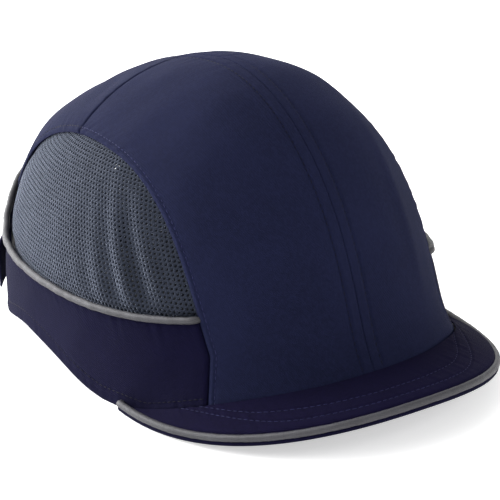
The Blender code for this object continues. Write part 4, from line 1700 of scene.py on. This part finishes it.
def strap_layer(name, first, last, layer, finish, edge=0.0, corner=0.0, cells=(120, 26)):
    """One layer of the strap between two angles, with its far corners rounded."""
    thickness = STRAP_THICKNESSES[layer - 1]
    u = crowded(cells[0], 0.7)[:, None]
    v = crowded(cells[1], 0.6)[None, :]
    half = STRAP_WIDTH / 2 - edge
    from_middle = (v - 0.5) * 2 * half
    beyond = np.maximum(np.abs(from_middle) - (half - corner), 0.0)
    cut = (corner - np.sqrt(np.maximum(corner**2 - beyond**2, 0.0))) / REAR_REACH
    end = last - np.sign(last - first) * cut
    angle = mix(first, end, u) + 0 * v
    height = STRAP_LOW + STRAP_WIDTH / 2 + from_middle + 0 * u
    run = np.abs(angle - first) * REAR_REACH
    left = np.abs(end - first) * REAR_REACH - run
    side = half - np.abs(from_middle) + 0 * u
    rim = np.minimum(np.minimum(run, left), side)
    lift = -thickness * 0.30 * np.exp(-rim / 0.0006)
    if thickness > 0.0006:
        lift = lift - 0.00012 * bump(side, 0.0022, 0.0006)
        lift = lift + 0.00010 * np.sin(run * math.tau / 0.0105) * smooth(side / 0.004)
    points = strap_place(angle, height, strap_stack(layer) + lift)
    uv = np.stack([run, height], -1)
    piece = new_piece(name, grid_mesh(name, points, uv), finish)
    return thicken(piece, thickness)


def strap_rows(corners, layer):
    """A row of stitches through corners given as angle and height, on a layer's outer face."""
    corners = np.array(corners, float)
    legs = [
        np.linspace(a, b, 60, endpoint=False) for a, b in zip(corners[:-1], corners[1:])
    ]
    spots = np.concatenate([*legs, corners[-1:]])
    return strap_place(spots[:, 0], spots[:, 1], strap_stack(layer) + 0.00008)


def box_row(first, last, layer, margin, crossed=False):
    """Stitches round a box between two angles, with a cross in it if asked."""
    low, high = STRAP_LOW + margin, STRAP_LOW + STRAP_WIDTH - margin
    corners = [(first, low), (last, low), (last, high), (first, high), (first, low)]
    if crossed:
        corners += [(last, high), (last, low), (first, high)]
    return strap_rows(corners, layer)


def nap_tree():
    """Stands small hooks or loops on the points of a mesh, each turned a little its own way."""
    found = bpy.data.node_groups.get("nap")
    if found:
        return found
    tree = Tree(
        "nap",
        {
            "Size": ("NodeSocketFloat", 0.0005),
            "Stretch": ("NodeSocketFloat", 1.0),
            "Seed": ("NodeSocketInt", 3),
        },
    )
    normal = tree.add("GeometryNodeInputNormal")
    facing = tree.add(
        "FunctionNodeAlignRotationToVector", {"axis": "Z"}, {"Vector": normal.outputs[0]}
    )
    leaning = tree.add(
        "FunctionNodeRotateRotation", {"rotation_space": "LOCAL"},
        {0: facing.outputs[0], 1: tree.chance((-0.5, -0.5, 0.0), (0.5, 0.5, 6.2))},
    )
    bud = tree.add("GeometryNodeMeshIcoSphere", {}, {"Radius": 0.5, "Subdivisions": 1})
    across = tree.times(tree.input("Size"), tree.chance(0.75, 1.15))
    tall = tree.times(across, tree.input("Stretch"))
    return tree.lay(
        tree.input("Geometry"), bud.outputs[0], leaning.outputs[0], (across, across, tall)
    )


def nap_patch(name, sign, layer, cells, size, stretch, finish, face):
    """Hooks or loops over one side of a patch. Face is 1 on the outer side, or -1."""
    inset = 0.0028
    angle = np.linspace(PATCH_START, PATCH_END, cells[0] + 1)[1:-1, None] * sign
    height = np.linspace(STRAP_LOW + inset, STRAP_LOW + STRAP_WIDTH - inset, cells[1])[None, :]
    stagger = (np.arange(cells[1]) % 2 * 0.5)[None, :] * (PATCH_END - PATCH_START) / cells[0]
    angle, height = np.broadcast_arrays(angle + stagger * sign, height)
    out = strap_stack(layer) + (0.0 if face > 0 else -STRAP_THICKNESSES[layer - 1])
    points = strap_place(angle, height, np.full(angle.shape, out))
    facing = unit(points.mean((0, 1)) - np.array([0.0, LENGTH_SHIFT, 0.02])) * face
    uv = np.stack([angle * REAR_REACH, height], -1)
    piece = new_piece(name, grid_mesh(name, points, uv, facing=facing), finish)
    return run_tree(piece, nap_tree(), size=size, stretch=stretch, material=finish)


class BUILD_OT_cap_strap(bpy.types.Operator):
    """Makes the hook-and-loop strap across the rear opening"""

    bl_idname = "bump_cap.strap"
    bl_label = "Rear strap"

    def execute(self, context):
        web = finish_named("strap_web", twill_finish, slot_colour("strap"), 0.0011, 0.02, 0.0)
        pile = finish_named("loop_pile", pile_finish, slot_colour("loop"), 2300.0, 0.0003, 0.3)
        hooks = finish_named("hook_nylon", moulded_finish, slot_colour("hook"), 2400.0, 0.38)
        base = strap_layer("strap_loop_side", STRAP_SEWN_ANGLE, STRAP_BASE_END, 1, web, 0.0, 0.006)
        join_up(base, "cap", "strap", "strap_base")
        patch_piece = strap_layer("loop_patch_pile", PATCH_START, PATCH_END, 2, pile, 0.002, 0.002)
        join_up(patch_piece, "cap", "loop", "loop_patch")
        loops = nap_patch("loop_pile_nap", 1, 2, (58, 24), 0.00075, 0.5, pile, 1)
        join_up(loops, "cap", "loop")
        anchor = strap_layer("strap_sewn_end", -STRAP_SEWN_ANGLE, -STRAP_ANCHOR_END, 4, web)
        join_up(anchor, "cap", "strap", "strap_anchor")

        start = -STRAP_ANCHOR_END - GAP / REAR_REACH
        tongue = strap_layer("strap_hook_side", start, -STRAP_TONGUE_END, 4, web, 0.0, 0.008)
        join_up(tongue, "strap", "strap", "strap_tongue")
        backing = strap_layer("hook_patch_tape", -PATCH_START, -PATCH_END, 3, hooks, 0.002, 0.002)
        join_up(backing, "strap", "hook", "hook_patch")
        spikes = nap_patch("hook_patch_nap", -1, 3, (42, 17), 0.00042, 1.3, hooks, -1)
        join_up(spikes, "strap", "hook")

        step = math.radians(1.0)
        rows = [
            box_row(STRAP_SEWN_ANGLE + step, STRAP_SEWN_ANGLE + 9 * step, 1, 0.0022, True),
            box_row(STRAP_SEWN_ANGLE + 10 * step, STRAP_BASE_END - 2 * step, 1, 0.0022),
            box_row(-STRAP_SEWN_ANGLE - step, -STRAP_ANCHOR_END + step, 4, 0.0022, True),
        ]
        sew("strap_thread", rows, "cap", "strap")
        rows = [
            box_row(start - step, -STRAP_TONGUE_END + 3 * step, 4, 0.0022),
            box_row(-PATCH_START, -PATCH_END, 4, 0.0036),
        ]
        sew("strap_tongue_thread", rows, "strap", "strap")
        return {"FINISHED"}


# ---------------------------------------------------------------- sweatband


SWELLING = {
    "vertex_group_mass": "held",
    "quality": 6,
    "mass": 0.2,
    "tension_stiffness": 12.0,
    "compression_stiffness": 12.0,
    "bending_stiffness": 0.4,
    "use_pressure": True,
    "uniform_pressure_force": 4.0,
}
SWELLING_FRAMES = 20


def swell(grid, pins, most, outward_to):
    """Lets the cloth between its seams swell under air pressure, and gives its new points.
    Pins holds 1 where a point stays. A point moves no further than most."""
    name = "swelling"
    uv = np.zeros(grid.shape[:2] + (2,))
    mesh = grid_mesh(name, grid, uv, facing=outward_to)
    thing = bpy.data.objects.new(name, mesh)
    bpy.context.scene.collection.objects.link(thing)
    held = thing.vertex_groups.new(name="held")
    for index in np.flatnonzero(pins.ravel() > 0.5).tolist():
        held.add([index], 1.0, "REPLACE")
    cloth = thing.modifiers.new("Cloth", "CLOTH")
    for key, value in SWELLING.items():
        setattr(cloth.settings, key, value)
    cloth.settings.effector_weights.gravity = 0.0
    cloth.collision_settings.use_collision = False
    cloth.point_cache.frame_start, cloth.point_cache.frame_end = 1, SWELLING_FRAMES
    scene = bpy.context.scene
    for number in range(1, SWELLING_FRAMES + 1):
        scene.frame_set(number)
    graph = bpy.context.evaluated_depsgraph_get()
    result = thing.evaluated_get(graph).to_mesh()
    moved = np.empty(len(result.vertices) * 3, np.float32)
    result.vertices.foreach_get("co", moved)
    step = moved.reshape(grid.shape).astype(float) - grid
    thing.evaluated_get(graph).to_mesh_clear()
    scene.frame_set(1)
    bpy.data.objects.remove(thing)
    bpy.data.meshes.remove(mesh)
    size = np.linalg.norm(step, axis=-1, keepdims=True)
    return grid + step / np.maximum(size, 1e-9) * most * np.tanh(size / most)


def sweatband_face(inset, columns=300, rows=26):
    angle = np.linspace(-SWEATBAND_END, SWEATBAND_END, columns + 1)[:, None]
    share = np.linspace(0.0, 1.0, rows + 1)[None, :]
    height = mix(hem_height(angle) + 0.0018, SWEATBAND_TOP, share)
    angle = angle + 0 * share
    return crown(angle, reach_at(angle, height), inset, False), angle, height


class BUILD_OT_cap_sweatband(bpy.types.Operator):
    """Makes the padded sweatband, swollen between its rows of stitches"""

    bl_idname = "bump_cap.sweatband"
    bl_label = "Sweatband"

    def execute(self, context):
        puff = context.scene.cap_insert.sweatband_puff
        inner, _, height = sweatband_face(SWEATBAND_INNER)
        outer, _, _ = sweatband_face(SWEATBAND_OUTER)
        columns, rows = inner.shape[:2]
        pins = np.zeros((columns, rows))
        pins[:, [0, 1, -2, -1]] = 1
        pins[[0, -1]] = 1
        sewn = [SWEATBAND_ROW, rows - 1 - SWEATBAND_ROW]
        pins[:, sewn] = 1
        quilts = np.arange(10, columns - 5, SWEATBAND_QUILT)
        pins[quilts, SWEATBAND_ROW:rows - SWEATBAND_ROW] = 1
        middle = unit(inner - outer)
        swollen = swell(inner, pins, puff, middle[:-1, :-1].reshape(-1, 3))
        loop = np.concatenate([swollen, outer[:, ::-1]], 1)
        run = run_along(inner[:, 0])
        around = np.concatenate([height, height[:, ::-1] + 0.06], 1)
        uv = np.stack([run[:, None] + 0 * around, around], -1)
        mesh = closed_band("sweatband_pad", loop, uv)
        dye = slot_colour("sweatband")
        finish = finish_named("towelling", pile_finish, dye, 1500.0, 0.0004, 0.35)
        piece = smoothed(new_piece("sweatband_pad", mesh, finish))
        join_up(piece, "cap", "sweatband", "sweatband")

        away = unit(inner - outer)[:, SWEATBAND_ROW]
        lines = [swollen[:, row] + away * THREAD_PROUD for row in sewn]
        sew("sweatband_thread", lines, "cap", "sweatband")
        return {"FINISHED"}


def closed_band(name, loop, uv):
    """A band whose section is a closed loop of points, with both ends filled."""
    columns, around = loop.shape[:2]
    index = np.arange(columns * around).reshape(columns, around)
    after = np.roll(index, -1, 1)
    quads = np.stack([index[:-1], index[1:], after[1:], after[:-1]], -1).reshape(-1, 4)
    flat = loop.reshape(-1, 3)
    corners = flat[quads]
    normals = np.cross(corners[:, 2] - corners[:, 0], corners[:, 3] - corners[:, 1])
    centres = loop.mean(1)[:-1].repeat(around, 0)
    if (normals * (corners.mean(1) - centres)).sum() < 0:
        quads = quads[:, ::-1]
        ends = [index[0].tolist(), index[-1][::-1].tolist()]
    else:
        ends = [index[0][::-1].tolist(), index[-1].tolist()]
    half = around // 2
    caps = []
    for ring in ends:
        for i in range(half - 1):
            caps.append([ring[i], ring[i + 1], ring[around - 2 - i], ring[around - 1 - i]])
    mesh = bpy.data.meshes.new(name)
    mesh.from_pydata(flat.tolist(), [], quads.tolist() + caps)
    map_points(mesh, uv)
    mesh.shade_smooth()
    return mesh


# ---------------------------------------------------------------- insert


def shell_edge(angle):
    lift = smooth((np.abs(turned(angle)) - SHELL_REAR_START) / SHELL_REAR_SPREAD)
    return SHELL_EDGE + SHELL_REAR_LIFT * lift


def shell_dome(levels):
    """The shell's unit dome with its vents, subdivided so that the vents get round corners."""
    verts, faces = [(0.0, 0.0, 1.0)], []
    for row in range(1, SHELL_ROWS + 1):
        tilt = row / SHELL_ROWS * math.pi / 2
        for column in range(SHELL_COLUMNS):
            turn = column / SHELL_COLUMNS * math.tau
            verts.append((
                math.sin(tilt) * math.sin(turn), -math.sin(tilt) * math.cos(turn), math.cos(tilt)
            ))
    for column in range(SHELL_COLUMNS):
        beside = (column + 1) % SHELL_COLUMNS
        faces.append((0, 1 + column, 1 + beside))
        for row in range(1, SHELL_ROWS):
            stagger = (row // 2 + 1) % 2 * (VENT_EVERY // 2)
            if row in VENT_ROWS and column % VENT_EVERY == stagger:
                continue
            first = 1 + (row - 1) * SHELL_COLUMNS
            second = first + SHELL_COLUMNS
            faces.append((first + column, second + column, second + beside, first + beside))
    mesh = bpy.data.meshes.new("shell_dome")
    mesh.from_pydata(verts, [], faces)
    dome = bpy.data.objects.new("shell_dome", mesh)
    bpy.context.scene.collection.objects.link(dome)
    smoothed(dome, levels)
    return dome


class BUILD_OT_cap_shell(bpy.types.Operator):
    """Makes the vented shell with its ribs and rolled rim"""

    bl_idname = "bump_cap.shell"
    bl_label = "Insert shell"

    def execute(self, context):
        insert = context.scene.cap_insert
        piece = shell_dome(insert.shell_smoothing)
        piece.name = piece.data.name = "shell_moulding"
        mesh = piece.data
        co = np.empty(len(mesh.vertices) * 3, np.float32)
        mesh.vertices.foreach_get("co", co)
        unit_points = unit(co.reshape(-1, 3).astype(float))
        angle = np.arctan2(unit_points[:, 0], -unit_points[:, 1])
        share = np.arccos(np.clip(unit_points[:, 2], 0.0, 1.0)) / (math.pi / 2)
        reach = share * reach_at(angle, shell_edge(angle))
        disc = disc_point(angle, reach)
        ribs = np.abs(np.sin(angle * 5 + math.pi / 4)) ** 24 * smooth((share - 0.22) / 0.1)
        rings = sum(bump(share, place, 0.018) for place in (0.25, 0.86))
        rim = bump(share, 1.0, 0.025)
        lift = -0.0009 * np.maximum(ribs * smooth((0.95 - share) / 0.06), rings) - 0.0006 * rim
        points = crown(angle, reach, SHELL_INSET, False) + outward(
            disc, SHELL_INSET, False
        ) * lift[:, None]
        mesh.vertices.foreach_set("co", points.astype(np.float32).ravel())
        faces_out(mesh)
        mesh.shade_smooth()
        dye = tuple(insert.shell_colour)
        mesh.materials.append(finish_named("shell_plastic", moulded_finish, dye, 1100.0, 0.36))
        thicken(piece, SHELL)
        join_up(piece, "insert", "shell", "insert_shell")
        return {"FINISHED"}


def faces_out(mesh):
    """Turns the faces of an open shell away from the head."""
    centre = Vector((0.0, LENGTH_SHIFT, 0.0))
    mesh.update()
    if sum(face.normal.dot(face.center - centre) for face in mesh.polygons) < 0:
        mesh.flip_normals()


def pad_piece(name, node, place, size, grooves, seed):
    """A moulded foam pad. Place gives disc points from -1 to 1 both ways, and size its width and
    height. Its edges are rounded, and grooves lie across it at these places."""
    insert = bpy.context.scene.cap_insert
    steps = np.sin(np.linspace(-math.pi / 2, math.pi / 2, 57))
    a, b = np.meshgrid(steps, steps, indexing="ij")
    most = np.maximum(np.abs(a), np.abs(b))
    power = 7.0
    round_off = (np.abs(a) ** power + np.abs(b) ** power) ** (1 / power)
    shrink = np.where(round_off > 1e-9, most / np.maximum(round_off, 1e-9), 1.0)
    a, b = a * shrink, b * shrink
    disc = place(a, b)
    from_rim = (1 - most) * min(size) / 2
    height = PAD * np.sqrt(np.maximum(1 - (1 - np.minimum(from_rim / 0.0032, 1)) ** 2, 0.0))
    across = b if size[1] > size[0] else a
    for groove in grooves:
        height = height - 0.0014 * bump(across, groove, 0.0016 / (max(size) / 2)) * smooth(
            from_rim / 0.004
        )
    base = SHELL_INSET + SHELL + PAD_GAP - 0.0003
    flat = from_disc(disc, base, False)
    out = outward(disc, base, False)
    inner = flat - out * np.maximum(height, 0.0)[..., None]
    inner = inner - out * (ripples(inner, seed, 0.0002) * smooth(from_rim / 0.006))[..., None]
    uv = np.stack([a * size[0] / 2, b * size[1] / 2], -1)
    front = grid_mesh(name, inner, uv, facing=-out[:-1, :-1].reshape(-1, 3))
    back = grid_mesh(name + "_back", flat, uv, facing=out[:-1, :-1].reshape(-1, 3))
    finish = finish_named("pad_foam", foam_finish, tuple(insert.foam_colour))
    piece = new_piece(name, front, finish)
    merge_meshes(piece, back)
    join_up(piece, "insert", "foam", node)
    return piece


def merge_meshes(piece, other):
    """Adds another mesh to the piece and closes the seam between them."""
    joined_up = bmesh.new()
    joined_up.from_mesh(piece.data)
    joined_up.from_mesh(other)
    bmesh.ops.remove_doubles(joined_up, verts=joined_up.verts, dist=1e-6)
    joined_up.to_mesh(piece.data)
    joined_up.free()
    piece.data.shade_smooth()
    bpy.data.meshes.remove(other)


class BUILD_OT_cap_pads(bpy.types.Operator):
    """Makes the foam pads inside the shell"""

    bl_idname = "bump_cap.pads"
    bl_label = "Foam pads"

    def execute(self, context):
        edge = float(reach_at(0.0, SHELL_EDGE)) - 0.02
        rear_edge = float(reach_at(math.pi, SHELL_EDGE + SHELL_REAR_LIFT)) - 0.02

        def round_pad(middle, spread, low, high):
            def place(a, b):
                return disc_point(middle + spread * a, mix(low, high, (b + 1) / 2))

            return place

        def top_pad(a, b):
            return over(0.035 * a, mix(-0.050, 0.062, (b + 1) / 2))

        angle = math.radians
        side = round_pad(angle(88), angle(26), edge, 0.54)
        far_side = round_pad(angle(-88), angle(26), edge, 0.54)
        halves, thirds = (-0.5, 0.0, 0.5), (-0.36, 0.36)
        pads = (
            ("front", round_pad(0.0, angle(40), edge, 0.56), (0.115, 0.048), halves),
            ("left", side, (0.068, 0.048), thirds),
            ("right", far_side, (0.068, 0.048), thirds),
            ("rear", round_pad(math.pi, angle(30), rear_edge, 0.62), (0.105, 0.034), halves),
            ("crown", top_pad, (0.070, 0.112), halves),
        )
        for seed, (place, *values) in enumerate(pads, 61):
            pad_piece(f"pad_{place}", f"foam_pad_{place}", *values, seed)
        return {"FINISHED"}


# ---------------------------------------------------------------- stage


class BUILD_OT_cap_stage(bpy.types.Operator):
    """Makes the floor, the lights and the camera"""

    bl_idname = "bump_cap.stage"
    bl_label = "Stage"

    def execute(self, context):
        stage = context.scene.cap_stage
        floor = Finish("floor_paper")
        grain = floor.noise(300.0, 2.0)
        tone = floor.blend(grain, shade(stage.floor_colour, 0.995), tuple(stage.floor_colour))
        paper = floor.done(
            {"Base Color": tone}, Roughness=0.9, Specular_IOR_Level=0.1,
            Emission_Color=(1.0, 1.0, 1.0, 1.0), Emission_Strength=0.50,
        )
        corners = [(-4, -4, 0), (4, -4, 0), (4, 4, 0), (-4, 4, 0)]
        mesh = bpy.data.meshes.new("floor")
        mesh.from_pydata(corners, [], [(0, 1, 2, 3)])
        new_piece("floor", mesh, paper)

        context.scene.world = self.soft_room(stage)
        context.scene.view_settings.view_transform = "Standard"
        self.soft_light("key", (-0.85, 1.45, 0.75), 0.7, 14.0)
        self.soft_light("fill", (1.10, -1.50, 1.00), 1.2, 14.0)
        self.place_camera(context, stage)
        return {"FINISHED"}

    def soft_room(self, stage):
        """An even pale room that is brighter on the side behind the wearer's right shoulder."""
        world = bpy.data.worlds.new("studio")
        world.use_nodes = True
        nodes, links = world.node_tree.nodes, world.node_tree.links

        def step(kind, operation, value, *constants):
            node = nodes.new(kind)
            node.operation = operation
            links.new(value, node.inputs[0])
            for index, constant in enumerate(constants, 1):
                node.inputs[index].default_value = constant
            return node.outputs

        place = nodes.new("ShaderNodeTexCoord").outputs["Generated"]
        facing = step("ShaderNodeVectorMath", "DOT_PRODUCT", place, (-0.42, 0.85, 0.32))["Value"]
        towards = step("ShaderNodeMath", "MAXIMUM", facing, 0.0)[0]
        falling = step("ShaderNodeMath", "POWER", towards, 3.0)[0]
        glow = step("ShaderNodeMath", "MULTIPLY_ADD", falling, stage.room_side, stage.room)
        backdrop = nodes["Background"]
        backdrop.inputs["Color"].default_value = (1.0, 1.0, 1.0, 1.0)
        links.new(glow[0], backdrop.inputs["Strength"])
        return world

    def soft_light(self, name, place, size, power):
        light = bpy.data.lights.new(name, "AREA")
        light.shape = "DISK"
        light.size = size
        light.energy = power
        lamp = bpy.data.objects.new(name, light)
        bpy.context.scene.collection.objects.link(lamp)
        aim = Vector((0, 0, 0.06)) - Vector(place)
        turn = aim.to_track_quat("-Z", "Y").to_matrix().to_4x4()
        lamp.matrix_world = Matrix.Translation(place) @ turn

    def place_camera(self, context, stage):
        """Looks at the cap from the wearer's right front, a little from above."""
        azimuth, elevation, roll = VIEW_AZIMUTH, VIEW_ELEVATION, VIEW_ROLL
        back = Vector((
            math.sin(azimuth) * math.cos(elevation),
            -math.cos(azimuth) * math.cos(elevation),
            math.sin(elevation),
        ))
        right = Vector((math.cos(azimuth), math.sin(azimuth), 0.0))
        up = back.cross(right)
        right, up = (
            right * math.cos(roll) - up * math.sin(roll),
            right * math.sin(roll) + up * math.cos(roll),
        )
        target = Vector((0.0, LENGTH_SHIFT, 0.0732))
        position = target + back * stage.distance
        aim = target + right * 0.0128 - up * 0.0315
        away = (position - aim).normalized()
        level = up.cross(away).normalized()
        upright = away.cross(level)
        data = bpy.data.cameras.new("camera")
        data.lens = stage.focal
        data.sensor_width = 36.0
        data.clip_end = 20.0
        camera = bpy.data.objects.new("camera", data)
        context.scene.collection.objects.link(camera)
        turn = Matrix((level, upright, away)).transposed().to_4x4()
        camera.matrix_world = Matrix.Translation(position) @ turn
        context.scene.camera = camera


class VIEW3D_PT_bump_cap(bpy.types.Panel):
    """Lists the cap's pieces and their settings"""

    bl_label = "Bump cap"
    bl_space_type = "VIEW_3D"
    bl_region_type = "UI"
    bl_category = "Bump cap"

    def draw(self, context):
        for group in SETTINGS:
            box = self.layout.box()
            settings = getattr(context.scene, group)
            for key in settings.bl_rna.properties.keys():
                if key not in ("name", "rna_type"):
                    box.prop(settings, key)
        for operator in OPERATORS:
            self.layout.operator(operator.bl_idname)


OPERATORS = (
    BUILD_OT_cap_stage,
    BUILD_OT_cap_front,
    BUILD_OT_cap_rear,
    BUILD_OT_cap_mesh,
    BUILD_OT_cap_bands,
    BUILD_OT_cap_piping,
    BUILD_OT_cap_tapes,
    BUILD_OT_cap_brim,
    BUILD_OT_cap_strap,
    BUILD_OT_cap_sweatband,
    BUILD_OT_cap_shell,
    BUILD_OT_cap_pads,
)
SETTINGS = {
    "cap_cloth": CapClothSettings,
    "cap_mesh": CapMeshSettings,
    "cap_trim": CapTrimSettings,
    "cap_insert": CapInsertSettings,
    "cap_stage": CapStageSettings,
}


def register():
    for group, kind in SETTINGS.items():
        bpy.utils.register_class(kind)
        setattr(bpy.types.Scene, group, PointerProperty(type=kind))
    for operator in OPERATORS:
        bpy.utils.register_class(operator)
    bpy.utils.register_class(VIEW3D_PT_bump_cap)


def unregister():
    bpy.utils.unregister_class(VIEW3D_PT_bump_cap)
    for operator in reversed(OPERATORS):
        bpy.utils.unregister_class(operator)
    for group, kind in SETTINGS.items():
        delattr(bpy.types.Scene, group)
        bpy.utils.unregister_class(kind)


def call(operator):
    group, name = operator.bl_idname.split(".")
    if getattr(getattr(bpy.ops, group), name)() != {"FINISHED"}:
        raise RuntimeError(f"{operator.bl_label} was not made")


def main():
    register()
    for operator in OPERATORS:
        call(operator)


if __name__ == "__main__":
    main()
